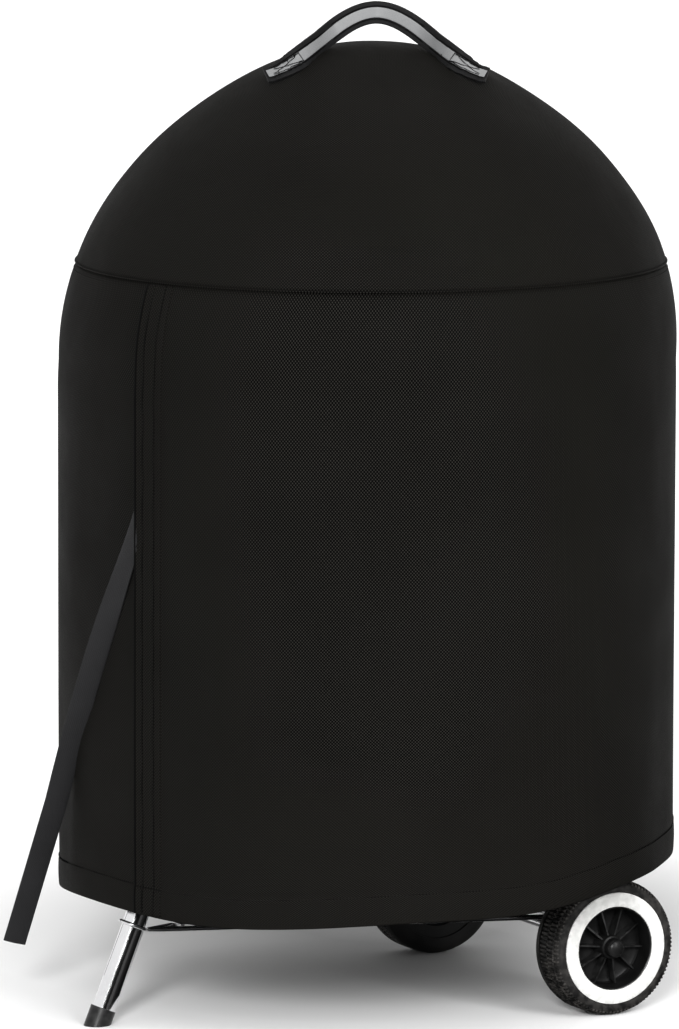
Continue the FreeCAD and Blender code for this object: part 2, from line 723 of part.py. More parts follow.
def cover_arcs():
    top = size("rim_height") + size("crown_rise")
    turn = math.radians(size("crown_turn"))
    flat = size("crown_arc")
    centre_a = V(0, top - flat, 0)
    joint = centre_a + V(flat * math.sin(turn), flat * math.cos(turn), 0)
    seam = V(size("kettle_radius") + size("seam_slack"), size("rim_height") + size("seam_rise"), 0)
    inward = V(-math.sin(turn), -math.cos(turn), 0)
    step = seam - joint
    round_b = step.dot(step) / (2 * inward.dot(step))
    centre_b = joint + inward * round_b
    wide = size("kettle_radius") + size("cover_slack")
    drop = size("shoulder_drop")
    across = wide - seam.x
    round_c = (drop * drop + across * across) / (2 * across)
    centre_c = V(wide - round_c, seam.y - drop, 0)
    return (centre_a, flat), (centre_b, round_b), (centre_c, round_c), turn, seam, wide


def on_arc(arc, grow, turn):
    centre, radius = arc
    reach = radius + grow
    return V(centre.x + reach * math.sin(turn), 0, centre.y + reach * math.cos(turn))


def turn_at(arc, grow, z):
    centre, radius = arc
    return math.acos((z - centre.y) / (radius + grow))


def arc_edge(arc, grow, start, end):
    points = [on_arc(arc, grow, start), on_arc(arc, grow, (start + end) / 2),
              on_arc(arc, grow, end)]
    return Part.Arc(*points).toShape()


def crown_side(grow, low):
    """Edges of the crown from the axis down to a level, moved outward by grow."""
    flat, shoulder, skirt, turn, seam, wide = cover_arcs()
    end = turn_at(shoulder, grow, low)
    return [arc_edge(flat, grow, 0, turn), arc_edge(shoulder, grow, turn, end)]


def skirt_side(grow, high, low):
    flat, shoulder, skirt, turn, seam, wide = cover_arcs()
    start = turn_at(skirt, grow, high)
    level = skirt[0].y
    bend = arc_edge(skirt, grow, start, math.pi / 2)
    return [bend, Part.LineSegment(V(wide + grow, 0, level), V(wide + grow, 0, low)).toShape()]


def band(outer, inner, degrees=360):
    """A solid turned from the strip between two rows of edges."""
    first = outer[0].Vertexes[0].Point
    last = outer[-1].Vertexes[-1].Point
    inner_first = inner[0].Vertexes[0].Point
    inner_last = inner[-1].Vertexes[-1].Point
    ends = [Part.LineSegment(last, inner_last).toShape(),
            Part.LineSegment(inner_first, first).toShape()]
    wire = Part.Wire(Part.__sortEdges__(outer + inner + ends))
    return Part.Face(wire).revolve(V(0, 0, 0), UP, degrees)


def filled_crown(grow, low):
    side = crown_side(grow, low)
    top = side[0].Vertexes[0].Point
    end = side[-1].Vertexes[-1].Point
    foot = V(0, 0, low)
    side.append(Part.LineSegment(end, foot).toShape())
    side.append(Part.LineSegment(foot, top).toShape())
    return Part.Face(Part.Wire(Part.__sortEdges__(side))).revolve(V(0, 0, 0), UP, 360)


def below_hem():
    """Everything under the tilted hem."""
    box = Part.makeBox(1400, 1400, 600, V(-700, -700, -600))
    turn = math.radians(size("cover_turn"))
    axis = V(math.sin(turn), -math.cos(turn), 0)
    box.rotate(V(0, 0, 0), axis, size("hem_tilt"))
    box.translate(V(0, 0, size("hem_height")))
    return box


def in_cover(across, deep, z):
    """A point of the cover from its own across, depth and height."""
    turn = math.radians(size("cover_turn"))
    return V(across * math.cos(turn) - deep * math.sin(turn),
             across * math.sin(turn) + deep * math.cos(turn), z)


def make_cover():
    seam = size("rim_height") + size("seam_rise")
    thick = size("cloth")
    node("cover_crown", solid("crown_cloth", band(crown_side(0, seam + 1),
                                                  crown_side(-thick, seam + 1))))
    skirt = band(skirt_side(0, seam - 1, 20), skirt_side(-thick, seam - 1, 20))
    node("cover_skirt", solid("skirt_cloth", skirt.cut(below_hem())))
    welt = turned("seam_welt", (
        ("Sizes.kettle_radius + Sizes.seam_slack - 2.6", "Sizes.rim_height + Sizes.seam_rise - 1"),
        ("Sizes.kettle_radius + Sizes.seam_slack + 1.2", "Sizes.rim_height + Sizes.seam_rise - 1"),
        ("Sizes.kettle_radius + Sizes.seam_slack + 1.2", "Sizes.rim_height + Sizes.seam_rise + 1"),
        ("Sizes.kettle_radius + Sizes.seam_slack - 2.6", "Sizes.rim_height + Sizes.seam_rise + 1"),
    ))
    node("cover_seam", welt)
    flap = band(skirt_side(1.9, seam - 1, 20), skirt_side(0.3, seam - 1, 20), 5.7)
    flap.rotate(V(0, 0, 0), UP, 180 + size("cover_turn") + 43.3)
    node("cover_placket", solid("placket_cloth", flap.cut(below_hem())))


def strap_shape():
    """A flat strip that leaves the placket, follows the skirt and hangs clear below the hem."""
    wide = size("kettle_radius") + size("cover_slack")
    start = size("strap_start")
    rows = []
    steps = 14
    centres = []
    for index in range(-1, steps + 1):
        share = index / steps
        lean = math.radians(43.7 - 30 * share - 16.7 * max(share, 0) ** 2)
        out = (247 + 145 * share) * wide / 342
        out = max(out, (wide + 2) * math.cos(lean))
        z = start * (1 - 0.845 * share - 0.05 * share * share)
        centres.append(in_cover(-out, -out * math.tan(lean), z))
    for index, centre in enumerate(centres):
        before = centres[max(index - 1, 0)]
        after = centres[min(index + 1, len(centres) - 1)]
        way = (after - before).normalize()
        out = V(centre.x, centre.y, 0).normalize()
        out = (out - way * out.dot(way)).normalize()
        side = way.cross(out).normalize() * (size("webbing") / 2)
        corners = [centre + side + out, centre - side + out, centre - side - out,
                   centre + side - out]
        rows.append(Part.makePolygon(corners + [corners[0]]))
    return Part.makeLoft(rows, True, True)


def make_strap():
    strap = strap_shape()
    room = Part.Face(Part.makePolygon([V(300, 0, 30), V(420, 0, 30), V(420, 0, 700),
                                       V(300, 0, 700), V(300, 0, 30)]))
    under = room.revolve(V(0, 0, 0), UP, 12)
    under.rotate(V(0, 0, 0), UP, 180 + size("cover_turn") + 43.3)
    kept = strap.cut(under)
    node("cover_strap", solid("strap_web", kept))


def handle_line(across):
    """Height of the carry handle's middle line, a raised wave between its sewn ends."""
    top = size("rim_height") + size("crown_rise")
    return top - 24 + 56 * (1 + math.cos(math.pi * across / 121)) / 2


def handle_band(half, reach, near, far):
    """The carry handle as a flat arch between two depths, half its width either side."""
    upper = []
    lower = []
    for index in range(-12, 13):
        across = reach * index / 12
        ahead = V(1, handle_line(across + 1) - handle_line(across), 0).normalize()
        rise = V(-ahead.y, ahead.x, 0)
        middle = V(across, handle_line(across), 0)
        upper.append(middle + rise * half)
        lower.append(middle - rise * half)
    edges = []
    for row in (upper, lower):
        curve = Part.BSplineCurve()
        curve.interpolate([in_cover(spot.x + 10, near, spot.y) for spot in row])
        edges.append(curve.toShape())
    for spot in (0, -1):
        edges.append(Part.LineSegment(in_cover(upper[spot].x + 10, near, upper[spot].y),
                                      in_cover(lower[spot].x + 10, near, lower[spot].y)).toShape())
    face = Part.Face(Part.Wire(Part.__sortEdges__(edges)))
    return face.extrude(in_cover(0, far - near, 0))


def make_carry_handle():
    low = size("rim_height") + size("seam_rise") + 5
    crown = filled_crown(0.2, low)
    arch = handle_band(size("webbing") / 2, 100, -1.5, 1.5).cut(crown)
    node("carry_handle", solid("handle_web", arch))
    stripe = handle_band(5.2, 96, -2.1, -1.5).cut(filled_crown(1, low))
    node("handle_stripe", solid("handle_stripe_band", stripe))
    skin = filled_crown(2.2, low).cut(crown)
    ends = []
    for start in (-121, 69):
        box = Part.makeBox(72, size("webbing"), 200, V(start, -size("webbing") / 2, low + 100))
        box.rotate(V(0, 0, 0), UP, size("cover_turn"))
        ends.append(skin.common(box))
    ends = Part.makeCompound(ends).cut(handle_band(size("webbing") / 2 + 0.1, 100, -2.2, 1.6))
    pieces = [piece for piece in ends.Solids if piece.Volume > 50]
    node("handle_ends", solid("handle_end_patches", Part.makeCompound(pieces)))


def check_and_write():
    doc.recompute()
    for thing in doc.Objects:
        if "Invalid" in thing.State or "Error" in thing.State:
            raise RuntimeError("%s does not build" % thing.Name)
    os.makedirs("parts", exist_ok=True)
    for name, thing in NODES:
        shape = thing.Shape
        if shape.isNull() or not shape.isValid() or not shape.Solids:
            raise RuntimeError("%s is not a valid solid" % name)
        shape.exportStep("parts/%s.step" % name)
        box = shape.BoundBox
        print("%-18s %2d  %10.0f  x %7.1f %7.1f  y %7.1f %7.1f  z %7.1f %7.1f" % (
            name, len(shape.Solids), shape.Volume, box.XMin, box.XMax, box.YMin, box.YMax,
            box.ZMin, box.ZMax))


fill_sheet()
make_bowl()
make_legs()
make_foot_cap()
make_leg_plugs()
make_axle()
make_rack()
make_pan()
make_sweep()
make_grates()
make_bowl_handles()
make_wheel("near", 1)
make_wheel("far", -1)
make_lid()
make_lid_fittings()
make_damper()
make_cover()
make_strap()
make_carry_handle()
check_and_write()
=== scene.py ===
import json
import math

import bmesh
import bpy
from mathutils import Matrix, Vector, noise


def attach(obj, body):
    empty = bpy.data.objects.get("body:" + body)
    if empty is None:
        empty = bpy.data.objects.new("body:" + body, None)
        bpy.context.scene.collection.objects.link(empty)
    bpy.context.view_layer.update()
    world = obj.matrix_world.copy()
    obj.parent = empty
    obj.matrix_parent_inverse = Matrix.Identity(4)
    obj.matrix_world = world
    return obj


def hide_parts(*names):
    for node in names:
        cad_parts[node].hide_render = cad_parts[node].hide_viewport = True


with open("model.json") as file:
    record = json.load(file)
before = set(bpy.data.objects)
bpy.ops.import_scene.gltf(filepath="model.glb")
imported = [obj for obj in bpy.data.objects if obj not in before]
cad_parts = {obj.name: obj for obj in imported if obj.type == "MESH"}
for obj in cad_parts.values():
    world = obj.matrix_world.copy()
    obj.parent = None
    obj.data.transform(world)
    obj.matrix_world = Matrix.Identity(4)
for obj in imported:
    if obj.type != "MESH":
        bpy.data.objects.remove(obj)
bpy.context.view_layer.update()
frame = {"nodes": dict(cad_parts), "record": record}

MM = 0.001
COVER_TURN = math.radians(62)       # the way the hem rises, from +X
CAMERA_SIDE = math.radians(-28)     # the side of the cover that carries the placket
CROWN_TOP = 1.070
CROWN_ARC = 0.3256
CROWN_TURN = math.radians(23)
SEAM_RADIUS = 0.326
SEAM_LEVEL = 0.829
SKIRT_RADIUS = 0.342
SHOULDER_DROP = 0.139
HEM_LEVEL = 0.149
HEM_RISE = math.tan(math.radians(3.72))
HEM_BAND = 0.031
SKIRT_TOP = SEAM_LEVEL - 0.001
CLOTH = 0.0016
WEAVE_PITCH = 0.00345

# the placket, as distances left of the cover's middle
FOLD_ACROSS = 0.2490
ROWS_ACROSS = (0.2418, 0.2307)
FLAP_ACROSS = 0.2235
# a thin black cord along the fold stands in for the fold's shadow line: a painted shadow
FOLD_SHADOW_CORD_RADIUS = 0.0015
FOLD_SHADOW_CORD_LIFT = 0.0041

# carry handle and closure strap: 25 mm webbing
WEB_HALF = 0.0125
HANDLE_REACH = 0.121
HANDLE_SHIFT = 0.010
HANDLE_WEB = 0.0028
TAPE_REACH = 0.119
TAPE_HALF = 0.0056
TAPE_LIFT = 0.0019
BOX_STITCH = (0.084, 0.1165)        # along the handle from its middle
STRAP_TUCK = 0.10                   # share of its visible length that runs on under the flap
UNDER_FLAP = 0.4                    # the strap is tucked above this height only


# ---- camera and light -----------------------------------------------------------------------

def aim(obj, target):
    way = Vector(target) - obj.location
    obj.rotation_euler = way.to_track_quat("-Z", "Y").to_euler()


def set_camera():
    """A long lens at the height of a person's chest, a little right of the kettle's axis."""
    lens = bpy.data.cameras.new("camera")
    lens.lens = 286.7
    lens.sensor_width = 36
    lens.clip_end = 60
    camera = bpy.data.objects.new("camera", lens)
    bpy.context.scene.collection.objects.link(camera)
    side = math.radians(62)
    across = Vector((math.cos(side), math.sin(side), 0))
    target = across * -0.0305 + Vector((0, 0, 0.544))
    camera.location = target + Vector((math.sin(side), -math.cos(side), 0)) * 9
    camera.location.z = 1.818
    aim(camera, target)
    bpy.context.scene.camera = camera


def area_light(name, place, target, wide, tall, power, tone=(1, 1, 1)):
    lamp = bpy.data.lights.new(name, "AREA")
    lamp.shape = "RECTANGLE"
    lamp.size = wide
    lamp.size_y = tall
    lamp.energy = power
    lamp.color = tone
    obj = bpy.data.objects.new(name, lamp)
    obj.location = place
    aim(obj, target)
    bpy.context.scene.collection.objects.link(obj)


def sun_light(name, side, height, strength, spread):
    """A soft distant light: side and height in degrees, side 0 behind the camera."""
    lamp = bpy.data.lights.new(name, "SUN")
    lamp.energy = strength
    lamp.angle = math.radians(spread)
    obj = bpy.data.objects.new(name, lamp)
    turn = CAMERA_SIDE + math.radians(side)
    rise = math.radians(height)
    obj.location = (3 * math.cos(turn) * math.cos(rise), 3 * math.sin(turn) * math.cos(rise),
                    3 * math.sin(rise))
    aim(obj, (0, 0, 0))
    bpy.context.scene.collection.objects.link(obj)


def dark_card():
    """A tall curved black card, and one on the floor below it, for the metal to mirror; seen in
    reflections only, it is a painted dark reflection.
    """
    bm = bmesh.new()
    line = [bm.verts.new(spot) for spot in ((0.10, 0, 0.0002), (2.6, 0, 0.0002), (2.6, 0, 4.6))]
    edges = [bm.edges.new(pair) for pair in zip(line, line[1:])]
    bmesh.ops.spin(bm, geom=line + edges, cent=(0, 0, 0), axis=(0, 0, 1),
                   angle=math.radians(125), steps=24)
    bmesh.ops.rotate(bm, verts=bm.verts,
                     matrix=Matrix.Rotation(CAMERA_SIDE + math.radians(-14), 3, "Z"))
    # it starts just right of the front leg's foot
    bmesh.ops.translate(bm, verts=bm.verts, vec=(-0.03, -0.34, 0))
    mesh = bpy.data.meshes.new("dark_card")
    bm.to_mesh(mesh)
    bm.free()
    mesh.materials.append(blank("black_card", Base_Color=(0.004, 0.004, 0.004, 1),
                                Roughness=0.9, Specular_IOR_Level=0.05)[0])
    card = bpy.data.objects.new("dark_card", mesh)
    card.visible_camera = False
    card.visible_shadow = False
    card.visible_diffuse = False
    bpy.context.scene.collection.objects.link(card)


def light_studio():
    middle = (0, 0, 0.55)
    sun_light("front_sun", -8, 22, 2.8, 12)
    sun_light("right_sun", 34, 27, 1.5, 22)
    area_light("right_strip", (2.2, 0.6, 1.4), middle, 0.1, 2.4, 25)
    world = bpy.data.worlds.new("studio")
    world.use_nodes = True
    world.node_tree.nodes["Background"].inputs["Color"].default_value = (1, 1, 1, 1)
    world.node_tree.nodes["Background"].inputs["Strength"].default_value = 1.0
    bpy.context.scene.world = world
    view = bpy.context.scene.view_settings
    view.view_transform = "Standard"


# ---- node helpers ---------------------------------------------------------------------------

def group_shell(name, inputs, outputs):
    """A shader node group with its sockets made; returns it with its two end nodes."""
    tree = bpy.data.node_groups.new(name, "ShaderNodeTree")
    for label, kind, value in inputs:
        socket = tree.interface.new_socket(label, in_out="INPUT", socket_type=kind)
        if value is not None:
            socket.default_value = value
    for label, kind in outputs:
        tree.interface.new_socket(label, in_out="OUTPUT", socket_type=kind)
    return tree, tree.nodes.new("NodeGroupInput"), tree.nodes.new("NodeGroupOutput")


def add(tree, kind, **settings):
    """A node with its settings; keys that name sockets set their values."""
    node = tree.nodes.new(kind)
    for key, value in settings.items():
        if hasattr(node, key):
            setattr(node, key, value)
        else:
            node.inputs[key.replace("_", " ")].default_value = value
    return node


def math_node(tree, operation, first, second=None):
    node = tree.nodes.new("ShaderNodeMath")
    node.operation = operation
    for index, value in enumerate((first, second)):
        if value is None:
            continue
        if isinstance(value, (int, float)):
            node.inputs[index].default_value = value
        else:
            tree.links.new(value, node.inputs[index])
    return node.outputs[0]


def blend_colour(tree, amount, first, second):
    node = tree.nodes.new("ShaderNodeMix")
    node.data_type = "RGBA"
    for index, value in ((0, amount), (6, first), (7, second)):
        if isinstance(value, (tuple, float, int)):
            node.inputs[index].default_value = value
        else:
            tree.links.new(value, node.inputs[index])
    return node.outputs[2]


def ramp(tree, value, low, high):
    node = tree.nodes.new("ShaderNodeMapRange")
    node.inputs["From Min"].default_value = low
    node.inputs["From Max"].default_value = high
    tree.links.new(value, node.inputs["Value"])
    return node.outputs["Result"]


def weave_group():
    """Plain weave: bumps at the thread crossings, staggered like a checker."""
    tree, start, end = group_shell(
        "crossed_threads",
        [("Vector", "NodeSocketVector", None), ("Pitch", "NodeSocketFloat", 0.00345)],
        [("Crossing", "NodeSocketFloat"), ("Height", "NodeSocketFloat")])
    split = add(tree, "ShaderNodeSeparateXYZ")
    tree.links.new(start.outputs["Vector"], split.inputs[0])
    waves = []
    for axis in ("X", "Y"):
        turn = math_node(tree, "DIVIDE", split.outputs[axis], start.outputs["Pitch"])
        waves.append(math_node(tree, "SINE", math_node(tree, "MULTIPLY", turn, 2 * math.pi)))
    both = math_node(tree, "MULTIPLY", *waves)
    crossing = ramp(tree, both, 0.0, 0.6)
    tree.links.new(crossing, end.inputs["Crossing"])
    tree.links.new(both, end.inputs["Height"])
    return tree


def rib_group():
    """Webbing: fine cross ribs with a slower wave along the band."""
    tree, start, end = group_shell(
        "webbing_ribs",
        [("Vector", "NodeSocketVector", None), ("Pitch", "NodeSocketFloat", 0.0013)],
        [("Rib", "NodeSocketFloat"), ("Height", "NodeSocketFloat")])
    split = add(tree, "ShaderNodeSeparateXYZ")
    tree.links.new(start.outputs["Vector"], split.inputs[0])
    along = math_node(tree, "DIVIDE", split.outputs["Y"], start.outputs["Pitch"])
    across = math_node(tree, "DIVIDE", split.outputs["X"], start.outputs["Pitch"])
    slant = math_node(tree, "ADD", along, math_node(tree, "MULTIPLY", across, 0.5))
    rib = math_node(tree, "SINE", math_node(tree, "MULTIPLY", slant, 2 * math.pi))
    cord = math_node(tree, "SINE", math_node(tree, "MULTIPLY", across, math.pi * 0.8))
    both = math_node(tree, "MULTIPLY", rib, math_node(tree, "ABSOLUTE", cord))
    tree.links.new(ramp(tree, both, -0.8, 0.8), end.inputs["Rib"])
    tree.links.new(both, end.inputs["Height"])
    return tree


def mottle_group():
    """Slow uneven tone, for handled and weathered surfaces."""
    tree, start, end = group_shell(
        "slow_mottle",
        [("Vector", "NodeSocketVector", None), ("Scale", "NodeSocketFloat", 6.0),
         ("Low", "NodeSocketFloat", 0.0), ("High", "NodeSocketFloat", 1.0)],
        [("Value", "NodeSocketFloat")])
    cloud = add(tree, "ShaderNodeTexNoise", Detail=4.0, Roughness=0.6)
    tree.links.new(start.outputs["Vector"], cloud.inputs["Vector"])
    tree.links.new(start.outputs["Scale"], cloud.inputs["Scale"])
    spread = add(tree, "ShaderNodeMapRange")
    spread.inputs["From Min"].default_value = 0.3
    spread.inputs["From Max"].default_value = 0.7
    tree.links.new(cloud.outputs["Fac"], spread.inputs["Value"])
    tree.links.new(start.outputs["Low"], spread.inputs["To Min"])
    tree.links.new(start.outputs["High"], spread.inputs["To Max"])
    tree.links.new(spread.outputs["Result"], end.inputs["Value"])
    return tree


def wear_group():
    """Mask of proud edges, broken up by noise."""
    tree, start, end = group_shell(
        "edge_wear",
        [("Vector", "NodeSocketVector", None), ("Amount", "NodeSocketFloat", 0.5)],
        [("Mask", "NodeSocketFloat")])
    geometry = add(tree, "ShaderNodeNewGeometry")
    proud = ramp(tree, geometry.outputs["Pointiness"], 0.51, 0.58)
    speckle = add(tree, "ShaderNodeTexNoise", Scale=140.0, Detail=3.0)
    tree.links.new(start.outputs["Vector"], speckle.inputs["Vector"])
    broken = ramp(tree, speckle.outputs["Fac"], 0.42, 0.6)
    both = math_node(tree, "MULTIPLY", proud, broken)
    tree.links.new(math_node(tree, "MULTIPLY", both, start.outputs["Amount"]),
                   end.inputs["Mask"])
    return tree


def brush_group():
    """Fine lines along one axis, as left by drawing or polishing."""
    tree, start, end = group_shell(
        "brushed_lines",
        [("Vector", "NodeSocketVector", None), ("Stretch", "NodeSocketVector", (600, 600, 8))],
        [("Line", "NodeSocketFloat")])
    scaled = add(tree, "ShaderNodeVectorMath", operation="MULTIPLY")
    tree.links.new(start.outputs["Vector"], scaled.inputs[0])
    tree.links.new(start.outputs["Stretch"], scaled.inputs[1])
    grain = add(tree, "ShaderNodeTexNoise", Scale=1.0, Detail=2.0)
    tree.links.new(scaled.outputs[0], grain.inputs["Vector"])
    tree.links.new(grain.outputs["Fac"], end.inputs["Line"])
    return tree


GROUPS = {"weave": weave_group(), "ribs": rib_group(), "mottle": mottle_group(),
          "wear": wear_group(), "brush": brush_group()}


def blank(name, **surface):
    """A material with its shader's own sockets set."""
    material = bpy.data.materials.new(name)
    material.use_nodes = True
    shader = material.node_tree.nodes["Principled BSDF"]
    for key, value in surface.items():
        shader.inputs[key.replace("_", " ")].default_value = value
    return material, material.node_tree, shader


def effect(tree, key, vector, **values):
    node = tree.nodes.new("ShaderNodeGroup")
    node.node_tree = GROUPS[key]
    tree.links.new(vector, node.inputs["Vector"])
    for label, value in values.items():
        node.inputs[label].default_value = value
    return node


def raise_normal(tree, shader, height, strength, depth):
    bump = add(tree, "ShaderNodeBump")
    bump.inputs["Strength"].default_value = strength
    bump.inputs["Distance"].default_value = depth
    tree.links.new(height, bump.inputs["Height"])
    tree.links.new(bump.outputs["Normal"], shader.inputs["Normal"])


# ---- materials ------------------------------------------------------------------------------

def cover_cloth_material():
    """Black coated canvas: dark plain weave whose thread crossings are painted paler, a painted
    highlight on the raised threads, with the gaps between them near black as painted shade.
    """
    material, tree, shader = blank("black_cover_cloth", Specular_IOR_Level=0.03)
    cloth = add(tree, "ShaderNodeUVMap", uv_map="cloth").outputs[0]
    place = add(tree, "ShaderNodeTexCoord").outputs["Object"]
    threads = effect(tree, "weave", cloth, Pitch=WEAVE_PITCH)
    tone = effect(tree, "mottle", place, Scale=5.0, Low=0.85, High=1.15).outputs["Value"]
    # painted highlight and shade: crossings painted paler and gaps near black; the mottle is the
    # cloth's own uneven tone
    thread_sheen_and_mottle = math_node(tree, "MULTIPLY", threads.outputs["Crossing"], tone)
    colour = blend_colour(tree, thread_sheen_and_mottle, (0.0001, 0.0001, 0.0001, 1), (0.0160, 0.0151, 0.0132, 1))
    tree.links.new(colour, shader.inputs["Base Color"])
    rough = effect(tree, "mottle", place, Scale=9.0, Low=0.62, High=0.78).outputs["Value"]
    tree.links.new(rough, shader.inputs["Roughness"])
    raise_normal(tree, shader, threads.outputs["Height"], 0.7, 0.0003)
    return material


def webbing_material(name, dark, light, rough):
    material, tree, shader = blank(name, Specular_IOR_Level=0.12)
    cloth = add(tree, "ShaderNodeUVMap", uv_map="cloth").outputs[0]
    place = add(tree, "ShaderNodeTexCoord").outputs["Object"]
    ribs = effect(tree, "ribs", cloth, Pitch=0.0016)
    tone = effect(tree, "mottle", place, Scale=30.0, Low=0.8, High=1.2).outputs["Value"]
    colour = blend_colour(tree, math_node(tree, "MULTIPLY", ribs.outputs["Rib"], tone),
                          dark, light)
    tree.links.new(colour, shader.inputs["Base Color"])
    shade = effect(tree, "mottle", place, Scale=60.0, Low=rough - 0.06,
                   High=rough + 0.06).outputs["Value"]
    tree.links.new(shade, shader.inputs["Roughness"])
    raise_normal(tree, shader, ribs.outputs["Height"], 0.6, 0.00025)
    return material


def silver_tape_material():
    material, tree, shader = blank("silver_reflective_tape", Specular_IOR_Level=0.3)
    cloth = add(tree, "ShaderNodeUVMap", uv_map="cloth").outputs[0]
    place = add(tree, "ShaderNodeTexCoord").outputs["Object"]
    grain = effect(tree, "weave", cloth, Pitch=0.0016)
    colour = blend_colour(tree, grain.outputs["Crossing"], (0.12, 0.122, 0.124, 1),
                          (0.215, 0.217, 0.22, 1))
    tree.links.new(colour, shader.inputs["Base Color"])
    rough = effect(tree, "mottle", place, Scale=40.0, Low=0.38, High=0.5).outputs["Value"]
    tree.links.new(rough, shader.inputs["Roughness"])
    raise_normal(tree, shader, grain.outputs["Height"], 0.25, 0.0001)
    return material


def thread_material():
    material, tree, shader = blank("black_sewing_thread", Roughness=0.9,
                                   Specular_IOR_Level=0.05)
    place = add(tree, "ShaderNodeTexCoord").outputs["Object"]
    tone = effect(tree, "mottle", place, Scale=300.0, Low=0.0, High=1.0).outputs["Value"]
    colour = blend_colour(tree, tone, (0.0004, 0.0004, 0.0004, 1), (0.0015, 0.0015, 0.0015, 1))
    tree.links.new(colour, shader.inputs["Base Color"])
    return material


def metal_material(name, dark, light, rough, stretch, polish=1.0):
    """Drawn or polished metal with faint lines and handling marks."""
    material, tree, shader = blank(name, Metallic=polish)
    place = add(tree, "ShaderNodeTexCoord").outputs["Object"]
    lines = effect(tree, "brush", place, Stretch=stretch).outputs["Line"]
    marks = effect(tree, "mottle", place, Scale=25.0, Low=0.0, High=1.0).outputs["Value"]
    tone = math_node(tree, "MULTIPLY", math_node(tree, "ADD", lines, marks), 0.5)
    tree.links.new(blend_colour(tree, tone, dark, light), shader.inputs["Base Color"])
    rubbed = math_node(tree, "MULTIPLY", marks, 0.08)
    tree.links.new(math_node(tree, "ADD", rubbed, rough), shader.inputs["Roughness"])
    raise_normal(tree, shader, lines, 0.08, 0.0001)
    return material


def enamel_material():
    material, tree, shader = blank("black_porcelain_enamel", Coat_Weight=0.6,
                                   Coat_Roughness=0.05)
    place = add(tree, "ShaderNodeTexCoord").outputs["Object"]
    soot = effect(tree, "mottle", place, Scale=7.0, Low=0.0, High=1.0).outputs["Value"]
    worn = effect(tree, "wear", place, Amount=0.5).outputs["Mask"]
    base = blend_colour(tree, soot, (0.006, 0.006, 0.007, 1), (0.014, 0.014, 0.015, 1))
    tree.links.new(blend_colour(tree, worn, base, (0.09, 0.085, 0.08, 1)),
                   shader.inputs["Base Color"])
    shade = math_node(tree, "MULTIPLY", soot, 0.14)
    tree.links.new(math_node(tree, "ADD", shade, 0.14), shader.inputs["Roughness"])
    peel = add(tree, "ShaderNodeTexNoise", Scale=160.0, Detail=1.0)
    tree.links.new(place, peel.inputs["Vector"])
    raise_normal(tree, shader, peel.outputs["Fac"], 0.06, 0.0004)
    return material


def plastic_material(name, dark, light, rough, grain=900.0):
    """Moulded plastic with a fine spark grain and paler rubbed edges."""
    material, tree, shader = blank(name, Specular_IOR_Level=0.22)
    place = add(tree, "ShaderNodeTexCoord").outputs["Object"]
    tone = effect(tree, "mottle", place, Scale=45.0, Low=0.0, High=1.0).outputs["Value"]
    worn = effect(tree, "wear", place, Amount=0.4).outputs["Mask"]
    base = blend_colour(tree, tone, dark, light)
    paler = tuple(min(1.0, channel * 2 + 0.015) for channel in light[:3]) + (1,)
    tree.links.new(blend_colour(tree, worn, base, paler), shader.inputs["Base Color"])
    shade = math_node(tree, "MULTIPLY", tone, 0.1)
    tree.links.new(math_node(tree, "ADD", shade, rough), shader.inputs["Roughness"])
    spark = add(tree, "ShaderNodeTexNoise", Scale=grain, Detail=2.0)
    tree.links.new(place, spark.inputs["Vector"])
    raise_normal(tree, shader, spark.outputs["Fac"], 0.12, 0.0003)
    return material


def rubber_material():
    material, tree, shader = blank("black_tyre_rubber", Specular_IOR_Level=0.15)
    place = add(tree, "ShaderNodeTexCoord").outputs["Object"]
    dust = effect(tree, "mottle", place, Scale=30.0, Low=0.0, High=1.0).outputs["Value"]
    worn = effect(tree, "wear", place, Amount=0.7).outputs["Mask"]
    base = blend_colour(tree, dust, (0.003, 0.003, 0.003, 1), (0.011, 0.0105, 0.01, 1))
    tree.links.new(blend_colour(tree, worn, base, (0.045, 0.042, 0.039, 1)),
                   shader.inputs["Base Color"])
    shade = math_node(tree, "MULTIPLY", dust, 0.2)
    tree.links.new(math_node(tree, "ADD", shade, 0.5), shader.inputs["Roughness"])
    grit = add(tree, "ShaderNodeTexNoise", Scale=500.0, Detail=3.0)
    tree.links.new(place, grit.inputs["Vector"])
    raise_normal(tree, shader, grit.outputs["Fac"], 0.2, 0.0004)
    return material


